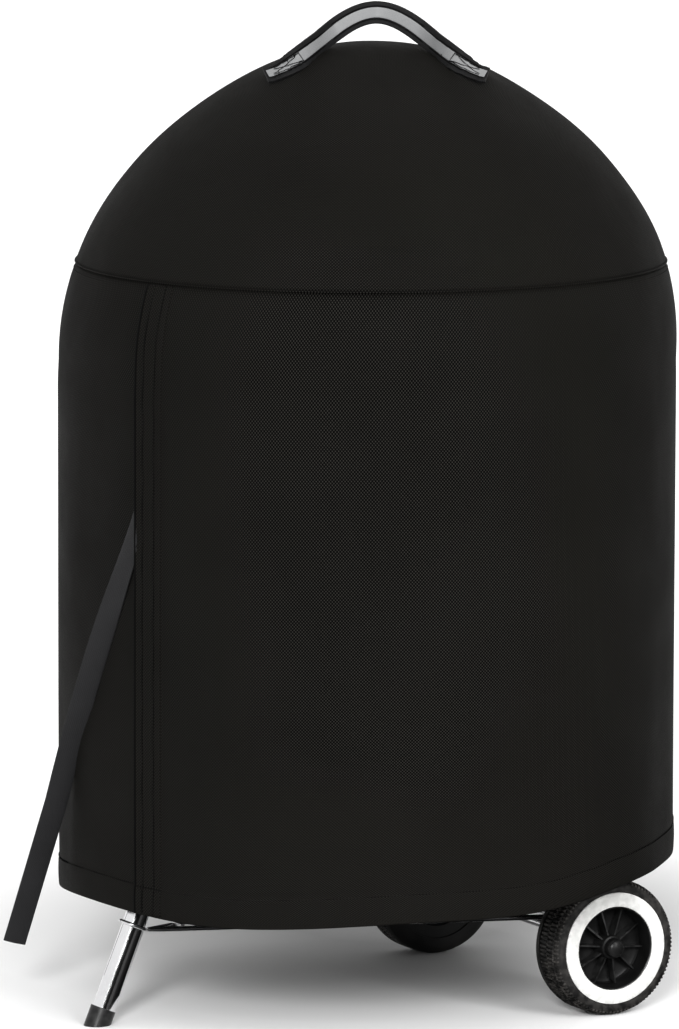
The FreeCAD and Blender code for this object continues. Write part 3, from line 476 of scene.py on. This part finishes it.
METAL_ALONG_LEG = (700, 700, 10)
FINISH = {
    "cover_cloth": cover_cloth_material(),
    "webbing": webbing_material("black_strap_webbing", (0.0035, 0.0035, 0.0038, 1),
                                (0.0135, 0.0135, 0.0145, 1), 0.55),
    "handle_webbing": webbing_material("black_handle_webbing", (0.0015, 0.0015, 0.0016, 1),
                                       (0.0085, 0.0085, 0.009, 1), 0.6),
    "silver_tape": silver_tape_material(),
    "thread": thread_material(),
    "enamel": enamel_material(),
    "polished_tube": metal_material("polished_leg_tube", (0.7, 0.7, 0.71, 1),
                                    (0.86, 0.86, 0.87, 1), 0.06, METAL_ALONG_LEG),
    "bright_wire": metal_material("plated_wire", (0.45, 0.45, 0.46, 1),
                                  (0.72, 0.72, 0.73, 1), 0.2, (300, 300, 300)),
    "bare_steel": metal_material("dull_steel", (0.2, 0.2, 0.2, 1),
                                 (0.42, 0.42, 0.42, 1), 0.34, (30, 400, 400)),
    "pan_aluminium": metal_material("spun_aluminium", (0.5, 0.5, 0.51, 1),
                                    (0.72, 0.72, 0.73, 1), 0.28, (400, 40, 400)),
    "black_plastic": plastic_material("black_moulded_plastic", (0.002, 0.002, 0.002, 1),
                                      (0.006, 0.006, 0.006, 1), 0.3),
    "handle_wood": plastic_material("black_nylon_grip", (0.009, 0.009, 0.009, 1),
                                    (0.02, 0.02, 0.02, 1), 0.42, 600.0),
    "tread_rubber": rubber_material(),
    "white_wall": plastic_material("white_wall_ring", (0.40, 0.40, 0.39, 1),
                                   (0.45, 0.45, 0.439, 1), 0.4),
}


def paint_frame():
    """Every carried-over node takes the finish of its own slot."""
    for part in frame["record"]["subparts"]:
        obj = frame["nodes"][part["node"]]
        obj.data.materials.clear()
        obj.data.materials.append(FINISH[part["material_slot"]])


# ---- making pieces --------------------------------------------------------------------------

def finish_piece(name, bm, finish, body, stands_for=(), smooth=True):
    for edge in bm.edges:
        if len(edge.link_faces) == 2 and edge.calc_face_angle(0) > 0.6:
            edge.smooth = False
    mesh = bpy.data.meshes.new(name)
    bm.to_mesh(mesh)
    bm.free()
    for face in mesh.polygons:
        face.use_smooth = smooth
    obj = bpy.data.objects.new(name, mesh)
    bpy.context.scene.collection.objects.link(obj)
    mesh.materials.append(FINISH[finish])
    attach(obj, body)
    if stands_for:
        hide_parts(*stands_for)
    return obj


def thicken(obj, thickness, offset=-1.0):
    wall = obj.modifiers.new("wall", "SOLIDIFY")
    wall.thickness = thickness
    wall.offset = offset


def in_cover(across, deep, z):
    return Vector((across * math.cos(COVER_TURN) - deep * math.sin(COVER_TURN),
                   across * math.sin(COVER_TURN) + deep * math.cos(COVER_TURN), z))


def bump(angle, middle, spread):
    """1 at a middle angle, falling to 0 away from it; all in degrees from the hem's rise."""
    away = (math.degrees(angle - COVER_TURN) - middle + 180) % 360 - 180
    return math.exp(-(away / spread) ** 2)


def hem_level(angle, radius=SKIRT_RADIUS):
    level = HEM_LEVEL + HEM_RISE * radius * math.cos(angle - COVER_TURN)
    level += 0.0125 * bump(angle, -152, 24)
    return level - 0.004 * bump(angle, -105, 45) - 0.009 * bump(angle, -57, 19)


def lean(spot):
    """The cover sits a few millimetres to the right of the kettle above its shoulder."""
    share = min(max((spot.z - 0.69) / 0.2, 0), 1)
    share = share * share * (3 - 2 * share)
    return spot + Vector((math.cos(COVER_TURN), math.sin(COVER_TURN), 0)) * 0.0055 * share


def crown_outline(share):
    """Crown at a share, 0 at its top to 1 at the seam: radius, height, outward (2), run."""
    top = Vector((0, CROWN_TOP - CROWN_ARC))
    out = Vector((math.sin(CROWN_TURN), math.cos(CROWN_TURN)))
    joint = top + out * CROWN_ARC
    step = Vector((SEAM_RADIUS, SEAM_LEVEL)) - joint
    round_b = step.dot(step) / (-2 * out.dot(step))
    centre = joint - out * round_b
    end = math.acos((SEAM_LEVEL - centre.y) / round_b)
    first = CROWN_ARC * CROWN_TURN
    second = round_b * (end - CROWN_TURN)
    run = share * (first + second)
    if run < first:
        turn = run / CROWN_ARC
        spot = top
        reach = CROWN_ARC
    else:
        turn = CROWN_TURN + (run - first) / round_b
        spot = centre
        reach = round_b
    # the taut cloth runs a little flatter than the arc between the top and the seam
    reach -= 0.0052 * math.sin(math.pi * min(max((share - 0.04) / 0.66, 0), 1)) ** 2
    reach -= 0.0056 * math.sin(math.pi * min(max((share - 0.25) / 0.72, 0), 1)) ** 2
    return (spot.x + reach * math.sin(turn), spot.y + reach * math.cos(turn),
            math.sin(turn), math.cos(turn), run)


def skirt_outline(level):
    """Skirt radius at a height."""
    across = SKIRT_RADIUS - SEAM_RADIUS
    arc = (SHOULDER_DROP ** 2 + across ** 2) / (2 * across)
    low = SEAM_LEVEL - SHOULDER_DROP
    if level <= low:
        return SKIRT_RADIUS
    return SKIRT_RADIUS - arc + math.sqrt(arc * arc - (level - low) ** 2)


def soft_fold(angle, drop):
    """How far the skirt's cloth stands off its plain shape."""
    pull = noise.noise(Vector((math.cos(angle) * 2.2, math.sin(angle) * 2.2, drop * 0.8)))
    fine = noise.noise(Vector((math.cos(angle) * 6, math.sin(angle) * 6, drop * 1.7 + 9)))
    wave = math.sin(angle * 5 + 0.7) + 0.6 * math.sin(angle * 9 + 2.1 + drop)
    ease = min(drop * 5, 1)
    return ease * (0.0028 * pull + 0.0012 * fine) + 0.0011 * wave * drop ** 3


def crown_fold(angle, share):
    pull = noise.noise(Vector((math.cos(angle) * 2 * share, math.sin(angle) * 2 * share, 4)))
    gather = math.sin(angle * 46) * 0.0002 * max(0, (share - 0.93) / 0.07)
    return 0.003 * pull * math.sin(math.pi * share) + gather


def skirt_point(angle, drop, lift=0.0):
    """A point of the skirt: drop 0 at the ring seam to 1 at the hem."""
    low = hem_level(angle)
    level = SKIRT_TOP - drop * (SKIRT_TOP - low)
    above = level - low
    band = 0.0
    if above < HEM_BAND:
        band = 0.0007 + 0.0006 * math.sin(math.pi * above / HEM_BAND)
    elif above < HEM_BAND + 0.004:
        band = -0.0003
    tuck = 0.0012 * math.exp(-(drop * 0.68 / 0.006) ** 2)
    tuck -= 0.0024 * math.sin(math.pi * min((SEAM_LEVEL - level) / 0.11, 1))
    reach = skirt_outline(level) + soft_fold(angle, drop) + band + lift - tuck
    return lean(Vector((reach * math.cos(angle), reach * math.sin(angle), level)))


def crown_point(angle, share, lift=0.0):
    radius, level, out, up, run = crown_outline(share)
    lift += crown_fold(angle, share)
    reach = radius + lift * out
    spot = Vector((reach * math.cos(angle), reach * math.sin(angle), level + lift * up))
    # the cloth is drawn up under the two sewn ends of the handle
    for end in (-1, 1):
        foot = in_cover(HANDLE_SHIFT + end * 0.102, -0.052, spot.z)
        gap = (foot - spot).length
        spot.z += 0.0042 * math.exp(-(gap / 0.024) ** 2)
    sag = in_cover(HANDLE_SHIFT, 0, spot.z)
    spot.z -= 0.0012 * math.exp(-((sag - spot).length / 0.03) ** 2)
    return lean(spot)


def spun(rows, steps, height):
    """A tube of faces turned about the kettle's axis, as a first shape for the cloth."""
    bm = bmesh.new()
    line = [bm.verts.new((1, 0, -height * row / rows)) for row in range(rows + 1)]
    edges = [bm.edges.new(pair) for pair in zip(line, line[1:])]
    bmesh.ops.spin(bm, geom=line + edges, cent=(0, 0, 0), axis=(0, 0, 1),
                   angle=2 * math.pi, steps=steps, use_merge=True)
    bmesh.ops.remove_doubles(bm, verts=bm.verts, dist=1e-5)
    return bm


def lay_cloth_map(bm, layer_of, seam_angle):
    """Cloth map in metres: around from the seam, and along the cloth from its top edge."""
    cloth = bm.loops.layers.uv.new("cloth")
    for face in bm.faces:
        middle = face.calc_center_median()
        centre = (math.atan2(middle.y, middle.x) - seam_angle) % (2 * math.pi)
        for loop in face.loops:
            spot = loop.vert.co
            angle = (math.atan2(spot.y, spot.x) - seam_angle) % (2 * math.pi)
            if angle - centre > math.pi:
                angle -= 2 * math.pi
            elif centre - angle > math.pi:
                angle += 2 * math.pi
            loop[cloth].uv = layer_of(angle, spot)


def make_skirt():
    rows, steps = 120, 300
    bm = spun(rows, steps, 1.0)
    lay_cloth_map(bm, lambda angle, spot: (angle * SKIRT_RADIUS, spot.z * 0.68),
                  CAMERA_SIDE + math.pi)
    for vert in bm.verts:
        # rows close up towards the hem, where its fold needs them
        drop = 1 - (1 + vert.co.z) ** 1.25
        vert.co = skirt_point(math.atan2(vert.co.y, vert.co.x), drop)
    bmesh.ops.recalc_face_normals(bm, faces=bm.faces)
    skirt = finish_piece("skirt_cloth", bm, "cover_cloth", "cover", ["cover_skirt"])
    thicken(skirt, CLOTH)
    return skirt


def make_crown():
    rows, steps = 90, 300
    bm = spun(rows, steps, 1.0)
    caps = [vert for vert in bm.verts if vert.co.z > -1e-4]
    total = crown_outline(1.0)[4]

    def gore(angle, spot):
        share = -spot.z
        radius = crown_outline(share)[0]
        local = (angle % math.pi) - math.pi / 2
        side = math.floor(angle / math.pi)
        return (radius * local + side * 1.1, share * total)

    lay_cloth_map(bm, gore, CAMERA_SIDE + math.pi / 2)
    for vert in bm.verts:
        share = max(-vert.co.z, 0.0)
        if share < 1e-4:
            vert.co = crown_point(0, 0)
            continue
        vert.co = crown_point(math.atan2(vert.co.y, vert.co.x), share)
    bmesh.ops.remove_doubles(bm, verts=caps, dist=1e-5)
    bmesh.ops.recalc_face_normals(bm, faces=bm.faces)
    crown = finish_piece("crown_cloth", bm, "cover_cloth", "cover", ["cover_crown"])
    thicken(crown, CLOTH)
    return crown


def make_seam():
    """The ring seam: crown and skirt edges turned in, seen as a thin raised welt."""
    bm = bmesh.new()
    bmesh.ops.create_circle(bm, segments=10, radius=0.0011)
    bmesh.ops.rotate(bm, verts=bm.verts, matrix=Matrix.Rotation(math.pi / 2, 3, "X"))
    bmesh.ops.translate(bm, verts=bm.verts, vec=(SEAM_RADIUS + 0.0003, 0, SEAM_LEVEL))
    bmesh.ops.spin(bm, geom=bm.verts[:] + bm.edges[:], cent=(0, 0, 0), axis=(0, 0, 1),
                   angle=2 * math.pi, steps=300, use_merge=True)
    bmesh.ops.remove_doubles(bm, verts=bm.verts, dist=1e-5)
    cloth = bm.loops.layers.uv.new("cloth")
    for face in bm.faces:
        for loop in face.loops:
            spot = loop.vert.co
            loop[cloth].uv = (math.atan2(spot.y, spot.x) * SEAM_RADIUS, spot.z)
    bmesh.ops.recalc_face_normals(bm, faces=bm.faces)
    for vert in bm.verts:
        vert.co = lean(vert.co)
    return finish_piece("ring_seam_welt", bm, "cover_cloth", "cover", ["cover_seam"])


def sew(name, runs, pitch=0.0037, long=0.0025, wide=0.0017):
    """Rows of stitches. Each run is a list of (point, outward) along a seam."""
    bm = bmesh.new()
    for run in runs:
        carried = 0.0
        for (start, out), (end, out_end) in zip(run, run[1:]):
            span = (end - start).length
            way = (end - start).normalized()
            while carried < span:
                share = carried / span
                spot = start.lerp(end, share)
                up = out.lerp(out_end, share).normalized()
                side = up.cross(way).normalized()
                up = way.cross(side)
                turn = Matrix((way, side, up)).transposed().to_4x4()
                size = Matrix.Diagonal((long / 2, wide / 2, wide * 0.42, 1))
                bmesh.ops.create_icosphere(bm, subdivisions=1, radius=1,
                                           matrix=Matrix.Translation(spot) @ turn @ size)
                carried += pitch
            carried -= span
    bmesh.ops.recalc_face_normals(bm, faces=bm.faces)
    return finish_piece(name, bm, "thread", "cover")


def cord_along(name, run, radius):
    """A thin black cord following a run of (point, outward), laid along the placket's fold as a
    painted shadow line.
    """
    bm = bmesh.new()
    rings = []
    for index, (spot, out) in enumerate(run):
        way = (run[min(index + 1, len(run) - 1)][0] - run[max(index - 1, 0)][0]).normalized()
        side = out.cross(way).normalized()
        up = way.cross(side)
        rings.append([bm.verts.new(spot + (side * math.cos(turn) + up * math.sin(turn)) * radius)
                      for turn in (math.pi * step / 4 for step in range(8))])
    for first, second in zip(rings, rings[1:]):
        for step in range(8):
            bm.faces.new((first[step], first[(step + 1) % 8], second[(step + 1) % 8],
                          second[step]))
    bm.faces.new(rings[0])
    bm.faces.new(rings[-1])
    bmesh.ops.recalc_face_normals(bm, faces=bm.faces)
    return finish_piece(name, bm, "thread", "cover")


def outward(angle):
    return Vector((math.cos(angle), math.sin(angle), 0))


def placket_angle(across):
    """Polar angle of the skirt where it stands at a distance left of the cover's middle."""
    return math.pi + COVER_TURN + math.acos(across / SKIRT_RADIUS)


FOLD_ANGLE = placket_angle(FOLD_ACROSS)
ROW_ANGLES = tuple(placket_angle(across) for across in ROWS_ACROSS)
FLAP_END = placket_angle(FLAP_ACROSS)


def flap_lift(angle):
    """The flap stands off the skirt at its free edge and settles at its stitch rows."""
    share = (angle - FOLD_ANGLE) / (FLAP_END - FOLD_ANGLE)
    lift = 0.0040 * (1 - share) ** 1.5 + 0.0009
    for row in ROW_ANGLES:
        lift -= 0.0006 * math.exp(-((angle - row) * SKIRT_RADIUS / 0.0012) ** 2)
    return lift


def make_placket():
    bm = bmesh.new()
    bmesh.ops.create_grid(bm, x_segments=28, y_segments=150, size=0.5)
    cloth = bm.loops.layers.uv.new("cloth")
    for face in bm.faces:
        for loop in face.loops:
            spot = loop.vert.co
            loop[cloth].uv = (spot.x * 0.034 + 0.4, spot.y * 0.68)
    for vert in bm.verts:
        across = vert.co.x + 0.5
        drop = 0.5 - vert.co.y
        angle = FOLD_ANGLE + across * (FLAP_END - FOLD_ANGLE)
        lift = flap_lift(angle)
        if across < 0.02:
            lift -= 0.0016
        vert.co = skirt_point(angle, 0.002 + drop * 0.997, lift)
    bmesh.ops.recalc_face_normals(bm, faces=bm.faces)
    flap = finish_piece("placket_flap", bm, "cover_cloth", "cover", ["cover_placket"])
    thicken(flap, 0.0011)
    return flap


def make_stitches():
    rows = []
    for row in ROW_ANGLES:
        rows.append([(skirt_point(row, 0.004 + 0.994 * step / 200, flap_lift(row) + 0.0002),
                      outward(row)) for step in range(201)])
    placket = sew("placket_stitches", rows, wide=0.0029)
    run = []
    for step in range(721):
        angle = FOLD_ANGLE + 2 * math.pi * step / 720
        low = hem_level(angle)
        drop = (SKIRT_TOP - low - HEM_BAND - 0.0005) / (SKIRT_TOP - low)
        lift = flap_lift(angle) if step * math.pi / 360 < FLAP_END - FOLD_ANGLE else 0
        run.append((skirt_point(angle, drop, 0.0003 + lift), outward(angle)))
    hem = sew("hem_stitches", [run], wide=0.0025)
    seam = []
    for step in range(721):
        angle = 2 * math.pi * step / 720
        seam.append((skirt_point(angle, 0.0095, 0.0002), outward(angle)))
    ring = sew("ring_seam_stitches", [seam], wide=0.0007)
    # the black cord at the fold is a painted shadow line
    fold = [(skirt_point(FOLD_ANGLE, 0.002 + 0.996 * step / 240, FOLD_SHADOW_CORD_LIFT),
             outward(FOLD_ANGLE)) for step in range(241)]
    return placket, hem, ring, cord_along("placket_fold_shadow_cord", fold, FOLD_SHADOW_CORD_RADIUS)


def band_along(name, path, half, thick, finish, stands_for=(), rows=8, bow=0.0):
    """A flat band. path is a list of (middle, across the band, outward)."""
    bm = bmesh.new()
    bmesh.ops.create_grid(bm, x_segments=rows, y_segments=len(path) - 1, size=0.5)
    cloth = bm.loops.layers.uv.new("cloth")
    lengths = [0.0]
    for first, second in zip(path, path[1:]):
        lengths.append(lengths[-1] + (second[0] - first[0]).length)
    last = len(path) - 1
    for face in bm.faces:
        for loop in face.loops:
            spot = loop.vert.co
            loop[cloth].uv = (spot.x * 2 * half, lengths[round((spot.y + 0.5) * last)])
    for vert in bm.verts:
        share = vert.co.x * 2
        middle, side, out = path[round((vert.co.y + 0.5) * last)]
        vert.co = middle + side * (half * share) + out * (bow * (1 - share * share))
    obj = finish_piece(name, bm, finish, "cover", stands_for)
    thicken(obj, thick, 0.0)
    edge = obj.modifiers.new("edge", "BEVEL")
    edge.width = thick * 0.3
    edge.segments = 2
    edge.limit_method = "ANGLE"
    return obj


def under_flap(spot):
    """What lies right of the flap's fold is drawn in close against the skirt."""
    across = spot.x * math.cos(COVER_TURN) + spot.y * math.sin(COVER_TURN)
    past = across + FOLD_ACROSS
    if past <= 0 or spot.z < UNDER_FLAP:
        return spot
    angle = placket_angle(FOLD_ACROSS - 0.35 * past)
    drop = (SKIRT_TOP - spot.z) / (SKIRT_TOP - hem_level(angle))
    return skirt_point(angle, drop, 0.0010 - 0.042 * past)


def strap_path():
    """Middle line, width and face of the hanging strap, from under the placket to its end."""
    middles = []
    steps = 90
    for index in range(steps + 1):
        share = (1 + STRAP_TUCK) * index / steps - STRAP_TUCK
        across = -0.2468 - 0.1452 * share
        across -= 0.0045 * math.sin(math.pi * min(max(share, 0) / 0.66, 1))
        z = 0.567 - 0.4965 * share
        # it lies against the skirt, then hangs free once it is past the skirt's side
        radius = SKIRT_RADIUS + 0.0014 + WEB_HALF * 0.62 * min(1, max(share, 0) * 3)
        round_deep = -math.sqrt(max(radius * radius - across * across, 0.0001))
        free = -0.128 + 0.16 * (share - 0.5)
        deep = min(round_deep, free) if share > 0.45 else round_deep
        if 0.40 < share < 0.62:
            ease = (share - 0.40) / 0.22
            deep = round_deep + (free - round_deep) * ease * ease * (3 - 2 * ease)
        middles.append(in_cover(across, deep, z))
    path = []
    for index, middle in enumerate(middles):
        share = max((1 + STRAP_TUCK) * index / steps - STRAP_TUCK, 0)
        way = (middles[min(index + 1, steps)] - middles[max(index - 1, 0)]).normalized()
        flat = Vector((middle.x, middle.y, 0)).normalized()
        front = in_cover(0, -1, 0)
        ease = min(1, share * 3.2)
        out = flat.lerp(front, ease * ease * (3 - 2 * ease))
        out = (out - way * out.dot(way)).normalized()
        turn = math.radians(9 * math.sin(5.2 * share))
        out = Matrix.Rotation(turn, 3, way) @ out
        path.append((middle, way.cross(out).normalized(), out))
    return path


def crown_height(spot):
    """Height of the crown's cloth under a place."""
    flat = spot - (lean(Vector((0, 0, 1.0))) - Vector((0, 0, 1.0)))
    radius = math.hypot(flat.x, flat.y)
    low, high = 0.0, 1.0
    for _ in range(24):
        middle = (low + high) / 2
        if crown_outline(middle)[0] < radius:
            low = middle
        else:
            high = middle
    return crown_point(math.atan2(flat.y, flat.x), low).z


def handle_spot(across):
    """Middle of the carry handle: an arch whose sewn ends lie on the front of the crown."""
    share = min(abs(across) / HANDLE_REACH, 1)
    wave = (1 + math.cos(math.pi * share)) / 2
    z = 1.0375 + 0.0645 * wave ** 0.88
    deep = -0.004 - 0.064 * share ** 1.5
    return in_cover(HANDLE_SHIFT + across, deep, z)


def handle_tilt(across, way):
    lay = math.radians(8 + 50 * min(abs(across) / HANDLE_REACH, 1) ** 2.2)
    tall = in_cover(0, math.sin(lay), math.cos(lay))
    return (tall - way * tall.dot(way)).normalized()


def handle_path(reach, lift=0.0, steps=120):
    """The band brought forward along the line of sight until it clears the cloth below it."""
    towards = in_cover(0, -math.cos(math.radians(7)), math.sin(math.radians(7)))
    places = [reach * (2 * index / steps - 1) for index in range(steps + 1)]
    moved = []
    for across in places:
        middle = handle_spot(across)
        way = (handle_spot(across + 0.001) - handle_spot(across - 0.001)).normalized()
        side = handle_tilt(across, way)
        step = 0.0
        while step < 0.12:
            low = middle + towards * step - side * WEB_HALF
            if low.z > crown_height(low) + 0.0012:
                break
            step += 0.001
        moved.append(step)
    eased = []
    for index in range(len(moved)):
        near = moved[max(index - 6, 0):index + 7]
        eased.append(max(moved[index], sum(near) / len(near)))
    middles = [handle_spot(across) + towards * step for across, step in zip(places, eased)]
    path = []
    for index, (across, middle) in enumerate(zip(places, middles)):
        way = (middles[min(index + 1, steps)] - middles[max(index - 1, 0)]).normalized()
        side = handle_tilt(across, way)
        out = way.cross(side)
        if out.dot(in_cover(0, -1, 0)) < 0:
            out = -out
        path.append((middle + out * lift, side, out))
    return path


def make_handle():
    band_along("carry_handle_web", handle_path(HANDLE_REACH), WEB_HALF, HANDLE_WEB,
               "handle_webbing", ["carry_handle", "handle_ends"])
    band_along("silver_stripe", handle_path(TAPE_REACH, TAPE_LIFT), TAPE_HALF, 0.0005,
               "silver_tape", ["handle_stripe"], rows=6)
    runs = []
    path = handle_path(HANDLE_REACH, 0.0027, 242)

    def on_band(along, across):
        middle, side, out = path[round((along + HANDLE_REACH) / 0.001)]
        return middle + side * across, out

    for end in (-1, 1):
        near, far = BOX_STITCH
        for first, second in (((near, -0.005), (near, 0.005)), ((far, -0.005), (far, 0.005)),
                              ((near, -0.005), (far, -0.005)), ((near, 0.005), (far, 0.005)),
                              ((near, -0.005), (far, 0.005)), ((near, 0.005), (far, -0.005))):
            run = []
            for step in range(13):
                share = step / 12
                along = end * (first[0] + (second[0] - first[0]) * share)
                run.append(on_band(along, first[1] + (second[1] - first[1]) * share))
            runs.append(run)
    for edge in (-0.0072, 0.0072):
        runs.append([on_band(-0.118 + 0.236 * step / 118, edge) for step in range(119)])
    sew("handle_stitches", runs, pitch=0.0017, long=0.0018, wide=0.0014)


def make_strap():
    strap = band_along("closure_strap", strap_path(), WEB_HALF, 0.0016, "webbing",
                       ["cover_strap"], rows=8, bow=0.0012)
    for vert in strap.data.vertices:
        vert.co = under_flap(vert.co)
    return strap


def make_cover():
    skirt = make_skirt()
    crown = make_crown()
    seam = make_seam()
    flap = make_placket()
    placket, hem, ring, fold_shadow_cord = make_stitches()
    make_handle()
    strap = make_strap()


# ---- wheels: outlines as (along the axle from the inner face, radius) -------------------------

TYRE = ((6, 58), (5.4, 62), (5, 67), (6, 71.5), (9, 75), (13, 76), (16, 76), (16.6, 73.4),
        (18.6, 73.4), (19, 74), (30, 74.2), (46, 74), (50.6, 73), (53.6, 70.4), (55, 66.5),
        (54.8, 63.4), (54.2, 62.7), (49.8, 62.6), (49.8, 58))
HUB = ((61, 0), (60.6, 4), (59.4, 7.6), (57, 10), (55, 10.5), (48.6, 10.7), (48, 12.6),
       (46.6, 13.2), (31, 14), (29.6, 15), (29, 19), (29, 38), (30, 41.4), (32, 43),
       (51.8, 44.4), (53.8, 45), (54.4, 45.8), (53.8, 46.4), (49.6, 46.6), (49.6, 57.8),
       (8, 57.8), (8, 44), (26, 41), (26.4, 16), (10, 14), (10, 5.2), (46, 5.2), (46.4, 9.3),
       (58.4, 9.3), (58.6, 0))
WALL = ((50, 46.7), (54.6, 46.8), (55.6, 48.2), (56, 54.5), (55.6, 60.8), (54.6, 62.2),
        (50, 62.4))


def turned_outline(points, steps, closed):
    bm = bmesh.new()
    line = [bm.verts.new((along * MM, 0, radius * MM)) for along, radius in points]
    edges = [bm.edges.new(pair) for pair in zip(line, line[1:])]
    if closed:
        edges.append(bm.edges.new((line[-1], line[0])))
    bmesh.ops.spin(bm, geom=line + edges, cent=(0, 0, 0), axis=(1, 0, 0),
                   angle=2 * math.pi, steps=steps, use_merge=True)
    bmesh.ops.remove_doubles(bm, verts=bm.verts, dist=1e-6)
    return bm


def add_block(bm, corners, turn):
    """A six-sided block from eight corners (along, sideways, radius), turned on the axle."""
    spin = Matrix.Rotation(turn, 3, "X")
    made = [bm.verts.new(spin @ Vector(corner) * MM) for corner in corners]
    for face in ((0, 1, 2, 3), (7, 6, 5, 4), (0, 4, 5, 1), (1, 5, 6, 2), (2, 6, 7, 3),
                 (3, 7, 4, 0)):
        bm.faces.new([made[index] for index in face])


def lug(bm, turn, start, end, wide, low, high, drop):
    half = wide / 2
    add_block(bm, ((start, -half, low), (end, -half, low), (end, half, low),
                   (start, half, low), (start + 0.5, -half + 0.4, high),
                   (end - 0.7, -half + 0.4, high - drop), (end - 0.7, half - 0.4, high - drop),
                   (start + 0.5, half - 0.4, high)), turn)


def lay_on_axle(bm, near):
    side = 1 if near else -1
    for vert in bm.verts:
        vert.co = Vector((side * (0.172 + vert.co.x), 0.190 + vert.co.y, 0.076 + vert.co.z))
    bmesh.ops.recalc_face_normals(bm, faces=bm.faces)


def make_wheel(near):
    name = "near" if near else "far"
    body = name + "_wheel"
    count = 100
    tyre = turned_outline(TYRE, 144, True)
    for index in range(count):
        turn = 2 * math.pi * index / count
        lug(tyre, turn, 19.2, 33, 3.0, 73.4, 75.9, 0.2)
        lug(tyre, turn + math.pi / count, 33.6, 46.5, 3.0, 73.4, 75.9, 0.3)
        lug(tyre, turn, 45.5, 53.2, 2.7, 69.6, 75.6, 2.6)
    lay_on_axle(tyre, near)
    finish_piece(name + "_tyre_tread", tyre, "tread_rubber", body, [name + "_tyre"])
    hub = turned_outline(HUB, 96, False)
    for index in range(10):
        turn = 2 * math.pi * (index + 0.35) / 10
        add_block(hub, ((28.5, -1.3, 12.5), (28.5, -1.3, 43), (28.5, 1.3, 43),
                        (28.5, 1.3, 12.5), (43.5, -0.9, 12.5), (38.5, -0.9, 43.3),
                        (38.5, 0.9, 43.3), (43.5, 0.9, 12.5)), turn)
    lay_on_axle(hub, near)
    finish_piece(name + "_wheel_hub", hub, "black_plastic", body, [name + "_hub"])
    wall = turned_outline(WALL, 120, True)
    lay_on_axle(wall, near)
    finish_piece(name + "_white_ring", wall, "white_wall", body, [name + "_white_wall"])


def make_floor():
    bm = bmesh.new()
    bmesh.ops.create_grid(bm, x_segments=1, y_segments=1, size=14)
    mesh = bpy.data.meshes.new("floor")
    bm.to_mesh(mesh)
    bm.free()
    material, tree, shader = blank("pale_floor", Roughness=0.8, Specular_IOR_Level=0.1)
    # the floor is painted darker in a soft patch behind and under the kettle: a painted shadow
    place = add(tree, "ShaderNodeTexCoord").outputs["Object"]
    painted_shadow_place = add(tree, "ShaderNodeMapping", vector_type="TEXTURE")
    painted_shadow_place.inputs["Location"].default_value = in_cover(0.04, 0.46, 0)
    painted_shadow_place.inputs["Rotation"].default_value = (0, 0, COVER_TURN)
    painted_shadow_place.inputs["Scale"].default_value = (0.52, 0.62, 1)
    tree.links.new(place, painted_shadow_place.inputs["Vector"])
    painted_shadow_falloff = add(tree, "ShaderNodeTexGradient", gradient_type="SPHERICAL")
    tree.links.new(painted_shadow_place.outputs[0], painted_shadow_falloff.inputs[0])
    shade = ramp(tree, painted_shadow_falloff.outputs["Fac"], 0.0, 0.75)
    tree.links.new(blend_colour(tree, shade, (0.86, 0.86, 0.86, 1), (0.25, 0.25, 0.25, 1)),
                   shader.inputs["Base Color"])
    mesh.materials.append(material)
    floor = bpy.data.objects.new("floor", mesh)
    floor.location.z = -0.0004
    bpy.context.scene.collection.objects.link(floor)


set_camera()
light_studio()
dark_card()
paint_frame()
make_cover()
for near in (True, False):
    make_wheel(near)
make_floor()
